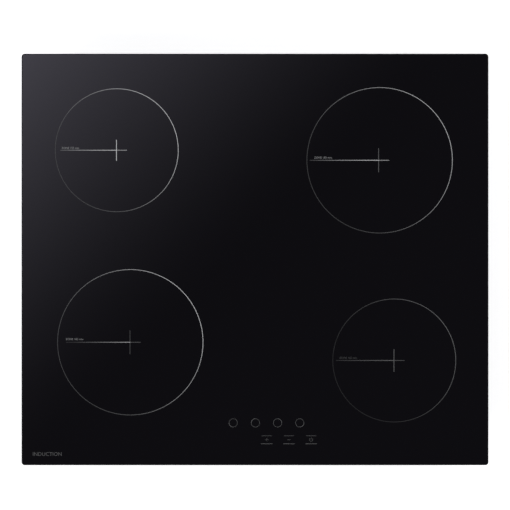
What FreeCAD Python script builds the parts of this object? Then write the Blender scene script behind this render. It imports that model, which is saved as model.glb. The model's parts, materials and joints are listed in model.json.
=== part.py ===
import FreeCAD, Part
import math
import os
import re

import Sketcher

# A built-in induction hob with four cooking zones, for a 560 x 490 mm worktop cut-out.
# Frame: +Z up, +Y towards the back of the worktop, +X to the cook's right. The origin is the
# middle of the base's underside. All sizes are in millimetres.

SIZES = (
    # glass plate and what it is bonded to
    ("glass_width", 590),
    ("glass_depth", 520),
    ("glass_thick", 4),
    ("glass_corner", 4),
    ("glass_edge", 1.2),
    ("seal_inset", 2),
    ("seal_wide", 9),
    ("seal_thick", 3),
    ("bead_thick", 1),
    ("bead_wide", 4.4),
    ("bead_inset", 0.8),
    ("frame_sheet", 1),
    ("frame_leg", 6.2),
    ("frame_drop", 14),
    ("frame_gap", 0.15),
    # base tray
    ("box_width", 552),
    ("box_depth", 482),
    ("box_height", 54),
    ("steel", 0.8),
    ("bend", 2.4),
    ("ledge_wide", 36),
    ("ledge_lift", 24),
    ("boss_radius", 4),
    ("board_lift", 8),
    ("vent_wide", 3.2),
    ("vent_tall", 22),
    ("vent_low", 7),
    ("vent_pitch", 8),
    ("vent_middle", 130),
    ("side_vent_tall", 11),
    ("side_vent_middle", 50),
    ("inlet_slot", 3),
    # side screws
    ("screw_radius", 1.75),
    ("screw_fit", 0.1),
    ("screw_head", 3.5),
    ("screw_head_tall", 1.8),
    ("screw_long", 6),
    ("screw_drop", 7),
    ("screw_outer_x", 225),
    ("screw_inner_x", 140),
    ("screw_side_y", 190),
    # coil tray
    ("tray_sheet", 1.2),
    ("tray_top", 34.2),
    ("tray_gap", 0.4),
    ("lead_slot_long", 24),
    ("lead_slot_wide", 5),
    # coil units: the two large ones, then the two small ones
    ("big_coil", 90),
    ("small_coil", 75),
    ("pad_thick", 3),
    ("pad_hole", 9),
    ("wire", 3.4),
    ("wire_gap", 0.2),
    ("winding_edge", 5),
    ("winding_hole", 20),
    ("carrier_floor", 1.5),
    ("rim_thick", 2),
    ("rim_deep", 9.5),
    ("hub_outer", 13),
    ("hub_inner", 10),
    ("hub_deep", 9),
    ("hub_hole", 5.4),
    ("ferrite_thick", 5),
    ("ferrite_wide", 12),
    ("ferrite_start", 22),
    ("ferrite_end", 8),
    ("leg_inset", 30),
    ("barb_gap", 0.5),
    ("leg_radius", 3),
    ("leg_fit", 0.4),
    ("leg_reach", 3.5),
    ("barb", 1),
    ("seat_radius", 6.6),
    ("seat_deep", 4.9),
    ("travel", 3),
    ("leg_clear", 0.7),
    ("spring_wire", 0.9),
    ("spring_mean", 4.9),
    ("spring_turns", 4),
    ("sensor_radius", 7),
    ("sensor_cap", 2.4),
    # where the four zones are
    ("rear_left_x", -174.6),
    ("rear_left_y", 137.9),
    ("front_left_x", -157.5),
    ("front_left_y", -104.6),
    ("rear_right_x", 157.4),
    ("rear_right_y", 125.2),
    ("front_right_x", 175.9),
    ("front_right_y", -127.6),
    # radial fans
    ("fan_x", 82),
    ("fan_y", 165),
    ("fan_radius", 44),
    ("fan_wall", 2),
    ("fan_headroom", 4.2),
    ("fan_lip", 11),
    ("fan_duct_wide", 40),
    ("fan_duct_long", 64),
    ("rotor_side", 3),
    ("rotor_ends", 2.2),
    ("rotor_gap", 1.4),
    ("blade_count", 30),
    ("blade_long", 10),
    ("blade_thick", 1),
    ("blade_lean", 35),
    ("cup_radius", 15),
    ("shaft_radius", 1.5),
    ("shaft_fit", 0.05),
    ("stator_radius", 11.5),
    # power boards and what they carry
    ("board_inner_x", 40),
    ("board_width", 175),
    ("board_front_y", -125),
    ("board_depth", 222),
    ("board_thick", 1.6),
    ("sink_inner_x", 44),
    ("sink_wide", 34),
    ("sink_front_y", -105),
    ("sink_long", 190),
    ("sink_base", 4),
    ("sink_tall", 17.5),
    ("fin_thick", 1.4),
    ("fin_count", 8),
    ("device_thick", 5),
    ("device_wide", 15.6),
    ("device_tall", 13.5),
    ("device_lift", 2.4),
    ("capacitor_long", 31),
    ("capacitor_wide", 18),
    ("part_clear", 0.7),
    ("choke_radius", 19),
    ("choke_hole", 8.5),
    ("choke_tall", 13),
    ("filter_x", -233),
    ("filter_y", 112),
    ("filter_width", 96),
    ("filter_depth", 116),
    # mains terminal box
    ("box_x", 152),
    ("box_y", 174),
    ("term_width", 80),
    ("term_depth", 62),
    ("term_wall", 2),
    ("lid_gap", 0.4),
    ("lid_thick", 1.6),
    ("lid_lift", 0.2),
    ("lid_barrel", 1.8),
    ("lid_pin", 1),
    ("lid_rib", 2),
    ("pin_fit", 0.06),
    ("block_wide", 60),
    ("block_deep", 24),
    ("block_gap", 7),
    ("entry_x", 192),
    ("entry_z", 12),
    ("entry_wide", 24),
    ("entry_tall", 13),
    ("entry_wall", 2),
    ("entry_lip", 3),
    # touch control
    ("key_pitch", 28),
    ("key_x", 14.5),
    ("upper_key_y", -206.4),
    ("lower_key_y", -227.7),
    ("lower_key_x", 42.9),
    ("touch_width", 150),
    ("touch_x", -53),
    ("touch_y", -238),
    ("touch_depth", 48),
    ("touch_wall", 1.5),
    ("touch_drop", 12),
    ("touch_stand", 4),
    ("touch_tall", 11.5),
    ("touch_post", 4),
    ("touch_spring", 5.1),
    ("touch_wire", 0.5),
    ("digit_wide", 4.4),
    ("digit_deep", 6.8),
    ("digit_tall", 6),
    ("ribbon_wide", 14),
    ("ribbon_thick", 1),
    ("ribbon_x", 50),
    ("ribbon_y", -200),
    ("ribbon_z", 13),
    ("ribbon_bend", 9),
    ("socket_deep", 8),
    ("socket_tall", 7),
    # worktop clamps
    ("clamp_y", 172),
    ("clamp_low", 6),
    ("clamp_sheet", 2),
    ("clamp_wide", 18),
    ("clamp_flat", 12),
    ("clamp_long", 34),
    ("clamp_crank", 6),
    ("bolt_radius", 2.5),
    ("bolt_fit", 0.06),
    ("bolt_head", 4.8),
    ("bolt_head_tall", 3.4),
    ("bolt_end", 30),
    ("nut_radius", 5),
    ("nut_tall", 4),
)
SIZE_NAMES = {name for name, value in SIZES}

# The cooking zones: name, and which of the two coil sizes it has.
COILS = (
    ("rear_left", "small_coil", 6),
    ("front_left", "big_coil", 9),
    ("rear_right", "big_coil", 9),
    ("front_right", "small_coil", 6),
)
LEG_ANGLES = (90, 210, 330)
SIDES = (("left", -1), ("right", 1))
GLASS_Z = "(box_height + frame_sheet + bead_thick)"
PAD_Z = f"({GLASS_Z} - pad_thick)"
WINDING_Z = f"({PAD_Z} - wire_gap - wire)"
FLOOR_Z = f"({WINDING_Z} - carrier_floor)"
WELL_HALF = "(box_width / 2 - ledge_wide)"
BOARD_TOP = "(board_lift + board_thick)"
TRAY_FOOT = "(tray_top - tray_sheet)"
LEG_LOW = f"({TRAY_FOOT} - leg_reach - travel)"
TERM_TALL = f"({LEG_LOW} - leg_clear - steel)"
TERM_TOP = f"(steel + {TERM_TALL})"
BLOCK_TALL = f"({TERM_TALL} - term_wall - block_gap)"
CAPACITOR_TALL = f"({LEG_LOW} - leg_clear - part_clear - {BOARD_TOP})"
SEAT_Z = f"({FLOOR_Z} - seat_deep)"
SPRING_LONG = f"({SEAT_Z} - tray_top)"
FAN_TALL = f"({TRAY_FOOT} - fan_headroom - steel)"
FAN_INLET = "(fan_radius - fan_lip)"
ROTOR_RADIUS = "(fan_radius - fan_wall - rotor_side)"
ROTOR_LOW = "(steel + fan_wall + rotor_ends)"
ROTOR_TOP = f"(steel + {FAN_TALL} - fan_wall - rotor_ends)"
CLAMP_X = "(box_width / 2 - ledge_wide / 2)"
TOUCH_FLOOR = "(box_height - touch_drop)"
TOUCH_BOARD = f"({TOUCH_FLOOR} + touch_stand)"
HINGE_Y = "(box_y + term_wall + lid_barrel + lid_gap)"
HINGE_Z = "(lid_lift + lid_barrel)"

doc = FreeCAD.newDocument("InductionHob")
sizes_sheet = doc.addObject("Spreadsheet::Sheet", "Sizes")
parts = []


def fill_sheet():
    """Write every driving size to the sheet as a plain number with an alias."""
    for row, (name, value) in enumerate(SIZES, 1):
        sizes_sheet.set(f"A{row}", name)
        sizes_sheet.set(f"B{row}", str(value))
        sizes_sheet.setAlias(f"B{row}", name)
    doc.recompute()


def size(name):
    """One size from the sheet, as a number."""
    return float(sizes_sheet.get(name))


def formula(text):
    """The formula with each size's name pointed at the sheet."""
    return re.sub(
        r"[a-z][a-z_0-9]*", lambda m: "Sizes." + m[0] if m[0] in SIZE_NAMES else m[0], str(text)
    )


def bind(item, **formulas):
    """Bind properties of an object to formulas over the sheet."""
    for name, text in formulas.items():
        item.setExpression(name, formula(text))
    return item


def place(item, x=0, y=0, z=0):
    """Bind where an object stands."""
    for axis, text in zip("xyz", (x, y, z)):
        item.setExpression("Placement.Base." + axis, formula(text))
    return item


def keep(item, label):
    """Make an object a sub-part: it is exported under this name."""
    item.Label = label
    parts.append(item)
    return item


# ---- Part primitives ----


def block(name, length, width, height, x=0, y=0, z=0):
    """A box from its lowest corner."""
    made = bind(doc.addObject("Part::Box", name), Length=length, Width=width, Height=height)
    return place(made, x, y, z)


def middle_block(name, length, width, height, x=0, y=0, z=0):
    """A box that stands with the middle of its foot at x, y, z."""
    return block(name, length, width, height, f"{x} - ({length}) / 2", f"{y} - ({width}) / 2", z)


def rod(name, radius, height, x=0, y=0, z=0):
    """An upright cylinder on its foot."""
    made = bind(doc.addObject("Part::Cylinder", name), Radius=radius, Height=height)
    return place(made, x, y, z)


def lying_rod(name, radius, height, direction, x=0, y=0, z=0):
    """A cylinder that starts at x, y, z and runs along a direction."""
    made = rod(name, radius, height, x, y, z)
    made.Placement.Rotation = FreeCAD.Rotation(FreeCAD.Vector(0, 0, 1), FreeCAD.Vector(*direction))
    return place(made, x, y, z)


def join(name, pieces):
    """One solid from several that meet."""
    made = doc.addObject("Part::MultiFuse", name)
    made.Shapes = pieces
    made.Refine = True
    return made


def cut(name, base, tools):
    """A solid less one or more others."""
    made = doc.addObject("Part::Cut", name)
    made.Base = base
    made.Tool = tools[0] if len(tools) == 1 else join(name + "_tools", tools)
    made.Refine = True
    return made


def group(name, pieces):
    """Separate solids that share one node."""
    made = doc.addObject("Part::Compound", name)
    made.Links = pieces
    return made


def helix_spring(name, wire, mean, length, turns, x, y, z):
    """A spring of eight-sided wire that fills the given length, standing at x, y, z."""
    path = doc.addObject("Part::Helix", name + "_path")
    bind(path, Radius=mean, Pitch=f"({length} - {wire}) / {turns}", Height=f"{length} - {wire}")
    place(path, x, y, f"{z} + {wire} / 2")
    section = bind(doc.addObject("Part::RegularPolygon", name + "_section"), Circumradius=f"{wire} / 2")
    section.Polygon = 8
    section.Placement.Rotation = FreeCAD.Rotation(FreeCAD.Vector(1, 0, 0), 90)
    place(section, f"{x} + {mean}", y, f"{z} + {wire} / 2")
    made = doc.addObject("Part::Sweep", name)
    made.Sections = [section]
    made.Spine = (path, ["Edge1"])
    made.Solid = True
    made.Frenet = True
    return made


# ---- PartDesign bodies ----


def new_body(name):
    return doc.addObject("PartDesign::Body", name)


def origin_part(body, role):
    """One of a body's own origin planes or axes, by its role."""
    return next(item for item in body.Origin.OriginFeatures if item.Role == role)


def sketch_on(body, name, role="XY_Plane", x=0, y=0, z=0):
    """A sketch on one of the body's own planes, moved by x and y in that plane and z along its normal."""
    made = body.newObject("Sketcher::SketchObject", name)
    made.AttachmentSupport = [(origin_part(body, role), "")]
    made.MapMode = "FlatFace"
    for axis, text in zip("xyz", (x, y, z)):
        made.setExpression("AttachmentOffset.Base." + axis, formula(text))
    return made


def pin_point(sketch, curve, point, x, y, start):
    """Hold a point of a curve at x, y from the sketch's origin."""
    for kind, text, value in (("DistanceX", x, start[0]), ("DistanceY", y, start[1])):
        number = sketch.addConstraint(Sketcher.Constraint(kind, -1, 1, curve, point, value))
        sketch.setExpression(f"Constraints[{number}]", formula(text))


def outline(sketch, points):
    """A closed outline of straight lines through points given as formulas."""
    turn = 2 * math.pi / len(points)
    spots = [(10 * math.cos(k * turn), 10 * math.sin(k * turn)) for k in range(len(points))]
    first = sketch.GeometryCount
    for k, spot in enumerate(spots):
        there = spots[(k + 1) % len(spots)]
        sketch.addGeometry(Part.LineSegment(FreeCAD.Vector(*spot, 0), FreeCAD.Vector(*there, 0)), False)
    for k, (x, y) in enumerate(points):
        before = first + (k - 1) % len(points)
        sketch.addConstraint(Sketcher.Constraint("Coincident", before, 2, first + k, 1))
        pin_point(sketch, first + k, 1, x, y, spots[k])
    return sketch


def rectangle(sketch, width, depth, x="0", y="0"):
    """A rectangle by its middle."""
    west, east = f"{x} - ({width}) / 2", f"{x} + ({width}) / 2"
    south, north = f"{y} - ({depth}) / 2", f"{y} + ({depth}) / 2"
    return outline(sketch, [(west, south), (east, south), (east, north), (west, north)])


def circle(sketch, radius, x=0, y=0):
    """A circle by its centre and radius."""
    number = sketch.addGeometry(Part.Circle(FreeCAD.Vector(1, 1, 0), FreeCAD.Vector(0, 0, 1), 5), False)
    pin_point(sketch, number, 3, x, y, (1, 1))
    held = sketch.addConstraint(Sketcher.Constraint("Radius", number, 5))
    sketch.setExpression(f"Constraints[{held}]", formula(radius))
    return sketch


def slot(sketch, width, x, low, high):
    """An upright slot with round ends, by the places of its two end centres."""
    up, half = FreeCAD.Vector(0, 0, 1), math.pi
    first = sketch.GeometryCount
    top, left, bottom, right = range(first, first + 4)
    upper = Part.ArcOfCircle(Part.Circle(FreeCAD.Vector(0, 4, 0), up, 2), 0, half)
    lower = Part.ArcOfCircle(Part.Circle(FreeCAD.Vector(0, -4, 0), up, 2), half, 2 * half)
    sketch.addGeometry(upper, False)
    sketch.addGeometry(Part.LineSegment(FreeCAD.Vector(-2, 4, 0), FreeCAD.Vector(-2, -4, 0)), False)
    sketch.addGeometry(lower, False)
    sketch.addGeometry(Part.LineSegment(FreeCAD.Vector(2, -4, 0), FreeCAD.Vector(2, 4, 0)), False)
    for a, b in ((top, left), (left, bottom), (bottom, right), (right, top)):
        sketch.addConstraint(Sketcher.Constraint("Tangent", a, 2, b, 1))
    pin_point(sketch, top, 3, x, high, (0, 4))
    pin_point(sketch, bottom, 3, x, low, (0, -4))
    sketch.addConstraint(Sketcher.Constraint("Equal", top, bottom))
    held = sketch.addConstraint(Sketcher.Constraint("Radius", top, 2))
    sketch.setExpression(f"Constraints[{held}]", formula(f"({width}) / 2"))
    return sketch


def pad(body, sketch, length, both_ways=False, back=False):
    """Thicken a sketch into material."""
    made = body.newObject("PartDesign::Pad", sketch.Name + "_pad")
    made.Profile = sketch
    made.SideType = "Symmetric" if both_ways else "One side"
    made.Reversed = back
    return bind(made, Length=length)


def pocket(body, sketch, length, both_ways=False, back=False):
    """Cut a sketch out of the body, and stop if nothing was cut."""
    before = volume_of(body)
    made = body.newObject("PartDesign::Pocket", sketch.Name + "_pocket")
    made.Profile = sketch
    made.SideType = "Symmetric" if both_ways else "One side"
    made.Reversed = back
    bind(made, Length=length)
    if volume_of(body) > before - 1e-6:
        raise ValueError(f"{made.Name} cuts nothing")
    return made


def volume_of(body):
    doc.recompute()
    return body.Shape.Volume


def revolve(body, sketch):
    """Turn a sketch a full circle about the upright axis through its own origin."""
    made = body.newObject("PartDesign::Revolution", sketch.Name + "_turned")
    made.Profile = sketch
    made.ReferenceAxis = (sketch, ["V_Axis"])
    made.Angle = 360
    return made


def row_of(body, feature, role, length, count):
    """Repeat a feature along one of the body's axes."""
    made = body.newObject("PartDesign::LinearPattern", feature.Name + "_row")
    made.Originals = [feature]
    made.Direction = (origin_part(body, role), [""])
    made.Occurrences = count
    bind(made, Length=length)
    body.Tip = made
    return made


def ring_of(body, feature, sketch, count):
    """Repeat a feature in a full circle about the axis through a sketch's origin."""
    made = body.newObject("PartDesign::PolarPattern", feature.Name + "_ring")
    made.Originals = [feature]
    made.Axis = (sketch, ["N_Axis"])
    made.Angle = 360
    made.Occurrences = count
    body.Tip = made
    return made


def upright_edges(shape):
    """Names of the straight edges that stand upright."""
    found = []
    for number, edge in enumerate(shape.Edges, 1):
        ends = [vertex.Point for vertex in edge.Vertexes]
        if len(ends) == 2 and math.dist(ends[0][:2], ends[1][:2]) < 1e-6:
            found.append(f"Edge{number}")
    return found


def round_edges(body, names, radius, kind="PartDesign::Fillet"):
    """Round or bevel edges of the body's last feature."""
    base = body.Tip
    made = body.newObject(kind, base.Name + "_eased")
    made.Base = (base, names)
    return bind(made, **{"Size" if kind.endswith("Chamfer") else "Radius": radius})


# ---- the case: glass, seals, frame, base and coil tray ----


def rings(body, name, width, depth, band, z, tall):
    """A rectangular ring of flat stock, by its outer size and band width."""
    made = sketch_on(body, name, z=z)
    rectangle(made, width, depth)
    rectangle(made, f"{width} - 2 * ({band})", f"{depth} - 2 * ({band})")
    return pad(body, made, tall)


def edges_at(shape, height):
    """Names of the edges that lie level at a height."""
    found = []
    for number, edge in enumerate(shape.Edges, 1):
        if all(abs(vertex.Z - height) < 1e-6 for vertex in edge.Vertexes):
            found.append(f"Edge{number}")
    return found


def build_glass():
    """The ceramic plate with rounded corners and ground edges."""
    body = new_body("glass")
    pad(body, rectangle(sketch_on(body, "plate", z=GLASS_Z), "glass_width", "glass_depth"), "glass_thick")
    doc.recompute()
    round_edges(body, upright_edges(body.Shape), "glass_corner")
    doc.recompute()
    low = size("box_height") + size("frame_sheet") + size("bead_thick")
    rims = edges_at(body.Shape, low) + edges_at(body.Shape, low + size("glass_thick"))
    round_edges(body, rims, "glass_edge")
    keep(body, "glass_top")


def build_seals():
    """The foam ring that lies on the worktop and the silicone bead under the glass."""
    foam = new_body("foam")
    width, depth = "glass_width - 2 * seal_inset", "glass_depth - 2 * seal_inset"
    rings(foam, "foam_ring", width, depth, "seal_wide", f"{GLASS_Z} - seal_thick", "seal_thick")
    keep(foam, "worktop_seal")
    bead = new_body("bead")
    width, depth = "box_width - 2 * bead_inset", "box_depth - 2 * bead_inset"
    rings(bead, "bead_ring", width, depth, "bead_wide", f"{GLASS_Z} - bead_thick", "bead_thick")
    keep(bead, "silicone_bead")


def wall_holes(body, radius):
    """Round holes for the side screws, straight through opposite walls."""
    height = "box_height - screw_drop"
    across = sketch_on(body, body.Name + "_end_holes", "XZ_Plane")
    for x in ("screw_outer_x", "screw_inner_x", "-screw_inner_x", "-screw_outer_x"):
        circle(across, radius, x, height)
    pocket(body, across, "box_depth + 20", both_ways=True)
    along = sketch_on(body, body.Name + "_side_holes", "YZ_Plane")
    for y in ("screw_side_y", "-screw_side_y"):
        circle(along, radius, y, height)
    pocket(body, along, "box_width + 20", both_ways=True)


def build_frame():
    """The angle-section frame that the glass is bonded to."""
    body = new_body("frame")
    rings(body, "frame_flat", "box_width", "box_depth", "frame_leg", "box_height", "frame_sheet")
    width = "box_width - 2 * (steel + frame_gap)"
    depth = "box_depth - 2 * (steel + frame_gap)"
    rings(body, "frame_skirt", width, depth, "frame_sheet", "box_height - frame_drop", "frame_drop")
    wall_holes(body, "screw_radius + screw_fit")
    keep(body, "glass_frame")


def board_places():
    """Each circuit board as name, lowest corner and size."""
    width, depth = "board_width", "board_depth"
    left = ("left", "-board_inner_x - board_width", "board_front_y", width, depth)
    right = ("right", "board_inner_x", "board_front_y", width, depth)
    return (left, right, ("filter", "filter_x", "filter_y", "filter_width", "filter_depth"))


def board_corners(place_of_board):
    """The four fixing points of a board."""
    name, x, y, width, depth = place_of_board
    inset = "1.6 * boss_radius"
    return [
        (f"{x} + {far_x} * ({width}) + {in_x} * {inset}", f"{y} + {far_y} * ({depth}) + {in_y} * {inset}")
        for far_x, in_x in ((0, 1), (1, -1))
        for far_y, in_y in ((0, 1), (1, -1))
    ]


def lengthwise_edges(shape, spots):
    """Names of the edges that run front to back at these distances from the middle and heights."""
    found = []
    for number, edge in enumerate(shape.Edges, 1):
        ends = [vertex.Point for vertex in edge.Vertexes]
        if abs(ends[0].x - ends[-1].x) > 1e-6 or abs(ends[0].z - ends[-1].z) > 1e-6:
            continue
        if any(abs(abs(ends[0].x) - x) < 1e-6 and abs(ends[0].z - z) < 1e-6 for x, z in spots):
            found.append(f"Edge{number}")
    return found


def trough(side, well, ledge, floor, top):
    """The stepped section of the base: a deep middle with a raised ledge each side."""
    right = [(well, floor), (well, ledge), (side, ledge), (side, top)]
    return right + [(f"-({x})", z) for x, z in reversed(right)]


def build_base():
    """The folded base with its deep middle, side ledges, air slots, studs and weld nuts."""
    body = new_body("base")
    side = "(box_width / 2)"
    section = sketch_on(body, "section", "XZ_Plane")
    outline(section, trough(side, WELL_HALF, "ledge_lift", "0", "box_height"))
    pad(body, section, "box_depth", both_ways=True)
    hollow = sketch_on(body, "hollow", "XZ_Plane")
    inner_side, inner_well = f"({side} - steel)", f"({WELL_HALF} - steel)"
    outline(hollow, trough(inner_side, inner_well, "ledge_lift + steel", "steel", "box_height + 1"))
    pocket(body, hollow, "box_depth - 2 * steel", both_ways=True)
    wall, width, ledge = size("steel"), size("box_width") / 2, size("ledge_lift")
    deep = width - size("ledge_wide")
    outside_bends = [(deep, 0), (width, ledge), (deep - wall, ledge + wall)]
    round_edges(body, lengthwise_edges(body.Shape, outside_bends), "bend")
    doc.recompute()
    inside_bends = [(deep, ledge), (deep - wall, wall), (width - wall, ledge + wall)]
    round_edges(body, lengthwise_edges(body.Shape, inside_bends), "bend - steel")
    add_base_slots(body)
    wall_holes(body, "screw_radius + screw_fit")
    add_base_studs(body)
    keep(body, "base_tray")


def add_base_slots(body):
    """Air slots in the walls and under the fans, and the openings for the mains connection."""
    half_depth = "box_depth / 2"
    through = "4 * steel"
    low, high = "vent_low + vent_wide / 2", "vent_low + vent_tall - vent_wide / 2"
    rows = (
        ("front_left_vent", half_depth, "-vent_middle", 13),
        ("front_right_vent", half_depth, "vent_middle", 13),
        ("rear_vent", f"-{half_depth}", "-vent_middle", 13),
    )
    for name, offset, middle, count in rows:
        start = f"{middle} - vent_pitch * {count - 1} / 2"
        sketch = sketch_on(body, name, "XZ_Plane", z=offset)
        cut_once = pocket(body, slot(sketch, "vent_wide", start, low, high), through, both_ways=True)
        row_of(body, cut_once, "X_Axis", f"vent_pitch * {count - 1}", count)
    foot = "ledge_lift + steel + bend"
    for name, middle in (("side_front_vent", "-side_vent_middle"), ("side_rear_vent", "side_vent_middle")):
        start = f"{middle} - vent_pitch * 4"
        sketch = sketch_on(body, name, "YZ_Plane")
        low, high = f"{foot} + vent_wide / 2", f"{foot} + side_vent_tall - vent_wide / 2"
        slot(sketch, "vent_wide", start, low, high)
        cut_once = pocket(body, sketch, "box_width + 20", both_ways=True)
        row_of(body, cut_once, "Y_Axis", "vent_pitch * 8", 9)
    for name, sign in SIDES:
        sketch = sketch_on(body, name + "_inlet", x=f"{sign} * fan_x", y="fan_y")
        slot(sketch, "inlet_slot", "0", f"{FAN_INLET} / 3 + inlet_slot", f"{FAN_INLET} - inlet_slot")
        cut_once = pocket(body, sketch, through, both_ways=True)
        ring_of(body, cut_once, sketch, 16)
    hatch = sketch_on(body, "hatch")
    inner_wide, inner_deep = "(term_width - 2 * term_wall)", "(term_depth - 2 * term_wall)"
    rectangle(hatch, inner_wide, inner_deep, "(box_x + term_width / 2)", "(box_y + term_depth / 2)")
    pocket(body, hatch, through, both_ways=True)
    entry = sketch_on(body, "entry", "XZ_Plane", z=f"-{half_depth}")
    rectangle(entry, "entry_wide + 2 * frame_gap", "entry_tall + 2 * frame_gap", "entry_x", "entry_z")
    pocket(body, entry, through, both_ways=True)


def add_base_studs(body):
    """Studs under the boards, and the weld nuts that the clamp bolts turn in."""
    for spot in board_places():
        studs = sketch_on(body, spot[0] + "_studs")
        for x, y in board_corners(spot):
            circle(studs, "boss_radius", x, y)
        pad(body, studs, "board_lift")
    nuts = sketch_on(body, "nuts", z="ledge_lift")
    bores = sketch_on(body, "nut_bores", z="ledge_lift")
    for x_sign, y_sign in clamp_signs():
        x, y = f"{x_sign} * {CLAMP_X}", f"{y_sign} * clamp_y"
        corner = [(math.cos(math.radians(60 * k)), math.sin(math.radians(60 * k))) for k in range(6)]
        hexagon = [(f"{x} + {c:.6f} * nut_radius", f"{y} + {s:.6f} * nut_radius") for c, s in corner]
        outline(nuts, hexagon)
        circle(bores, "bolt_radius + bolt_fit", x, y)
    pad(body, nuts, "steel + nut_tall")
    pocket(body, bores, "4 * nut_tall", both_ways=True)


def clamp_signs():
    return [(x_sign, y_sign) for x_sign in (-1, 1) for y_sign in (-1, 1)]


def leg_places():
    """Where every coil carrier's legs stand."""
    spots = []
    for name, radius, bars in COILS:
        for angle in LEG_ANGLES:
            c, s = math.cos(math.radians(angle)), math.sin(math.radians(angle))
            reach = f"({radius} - leg_inset)"
            spots.append((f"{name}_x + {c:.6f} * {reach}", f"{name}_y + {s:.6f} * {reach}"))
    return spots


def build_coil_tray():
    """The aluminium tray over the electronics, which stands on the side ledges."""
    body = new_body("shelf")
    edge = "(box_width / 2 - bend - tray_gap)"
    foot, under = "ledge_lift + steel", TRAY_FOOT
    section = sketch_on(body, "shelf_section", "XZ_Plane")
    inner = f"{edge} - tray_sheet"
    right = [(inner, under), (inner, foot), (edge, foot), (edge, "tray_top")]
    left = [(f"-({x})", z) for x, z in reversed(right)]
    outline(section, right + left)
    pad(body, section, "box_depth - 2 * (steel + tray_gap)", both_ways=True)
    holes = sketch_on(body, "leg_holes", z="tray_top")
    for x, y in leg_places():
        circle(holes, "leg_radius + leg_fit", x, y)
    for x_sign, y_sign in clamp_signs():
        circle(holes, "nut_radius + 1", f"{x_sign} * {CLAMP_X}", f"{y_sign} * clamp_y")
    for name, radius, bars in COILS:
        rectangle(holes, "lead_slot_long", "lead_slot_wide", f"{name}_x", f"({name}_y - {radius} / 3)")
    rectangle(holes, "ribbon_wide + 4", "ribbon_thick + 4", "ribbon_x", "ribbon_y")
    pocket(body, holes, "4 * tray_sheet", both_ways=True)
    for name, radius, bars in COILS:
        sketch = sketch_on(body, name + "_cooling", x=f"{name}_x", y=f"{name}_y", z="tray_top")
        slot(sketch, "lead_slot_wide", "0", f"0.3 * {radius} - {radius}", f"0.15 * {radius} - {radius}")
        cut_once = pocket(body, sketch, "4 * tray_sheet", both_ways=True)
        ring_of(body, cut_once, sketch, 12)
    keep(body, "coil_tray")


# ---- the four coil units ----


def disc(name, outer, inner, tall, x, y, z):
    """A flat ring."""
    hole = rod(name + "_hole", inner, f"{tall} + 2", x, y, f"{z} - 1")
    return cut(name, rod(name + "_disc", outer, tall, x, y, z), [hole])


def build_coil(name, radius, bars):
    """One zone's carrier, winding, ferrites, insulation, sensor and springs."""
    x, y = f"{name}_x", f"{name}_y"
    shelf = f"({PAD_Z} - hub_deep)"
    build_carrier(name, radius, shelf)
    keep(
        disc(name + "_litz", f"{radius} - winding_edge", "winding_hole", "wire", x, y, WINDING_Z),
        name + "_coil_winding",
    )
    pieces = []
    for k in range(bars):
        turn = 90 + 180 / bars + 360 * k / bars
        pieces.append(ferrite_bar(f"{name}_bar_{k}", radius, turn, x, y))
    keep(group(name + "_bars", pieces), name + "_coil_ferrites")
    keep(disc(name + "_felt", radius, "pad_hole", "pad_thick", x, y, PAD_Z), name + "_coil_insulation")
    build_sensor(name, x, y, f"({shelf} + carrier_floor)")
    springs = []
    reach = f"({radius} - leg_inset)"
    for k, angle in enumerate(LEG_ANGLES):
        c, s = math.cos(math.radians(angle)), math.sin(math.radians(angle))
        spot = (f"{x} + {c:.6f} * {reach}", f"{y} + {s:.6f} * {reach}", "tray_top")
        shape = ("spring_wire", "spring_mean", SPRING_LONG, "spring_turns")
        springs.append(helix_spring(f"{name}_spring_{k}", *shape, *spot))
    keep(group(name + "_lifters", springs), name + "_coil_springs")


def build_carrier(name, radius, shelf):
    """The moulded dish with rim, hub and three spring-loaded legs."""
    body = new_body(name + "_dish")
    rim = f"({radius} - rim_thick)"
    rim_foot = f"({PAD_Z} - rim_deep)"
    dish = sketch_on(body, name + "_dish_section", "XZ_Plane", x=f"{name}_x", z=f"-{name}_y")
    outline(dish, [
        ("hub_hole", shelf), ("hub_outer", shelf), ("hub_outer", FLOOR_Z), (rim, FLOOR_Z), (rim, rim_foot),
        (radius, rim_foot), (radius, PAD_Z), (rim, PAD_Z), (rim, WINDING_Z), ("hub_outer", WINDING_Z),
        ("hub_outer", PAD_Z), ("hub_inner", PAD_Z), ("hub_inner", f"{shelf} + carrier_floor"),
        ("hub_hole", f"{shelf} + carrier_floor"),
    ])
    revolve(body, dish)
    centre = sketch_on(body, name + "_centre", x=f"{name}_x", y=f"{name}_y", z=FLOOR_Z)
    circle(centre, "hub_outer + 0.5")
    circle(centre, "hub_outer - 0.5")
    pad(body, centre, "carrier_floor")
    stand = f"{name}_y + {radius} - leg_inset"
    leg = sketch_on(body, name + "_leg", "YZ_Plane", x=stand, z=f"{name}_x")
    under = TRAY_FOOT
    end = f"({under} - leg_reach)"
    seat = SEAT_Z
    outline(leg, [
        ("0", end), ("0.8 * leg_radius", end), ("leg_radius + barb", f"{end} + 1.5"),
        ("leg_radius + barb", f"{under} - barb_gap"), ("leg_radius", f"{under} - barb_gap"),
        ("leg_radius", seat), ("seat_radius", seat), ("seat_radius", f"{FLOOR_Z} + carrier_floor / 2"),
        ("0", f"{FLOOR_Z} + carrier_floor / 2"),
    ])
    ring_of(body, revolve(body, leg), centre, 3)
    keep(body, name + "_coil_carrier")


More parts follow.
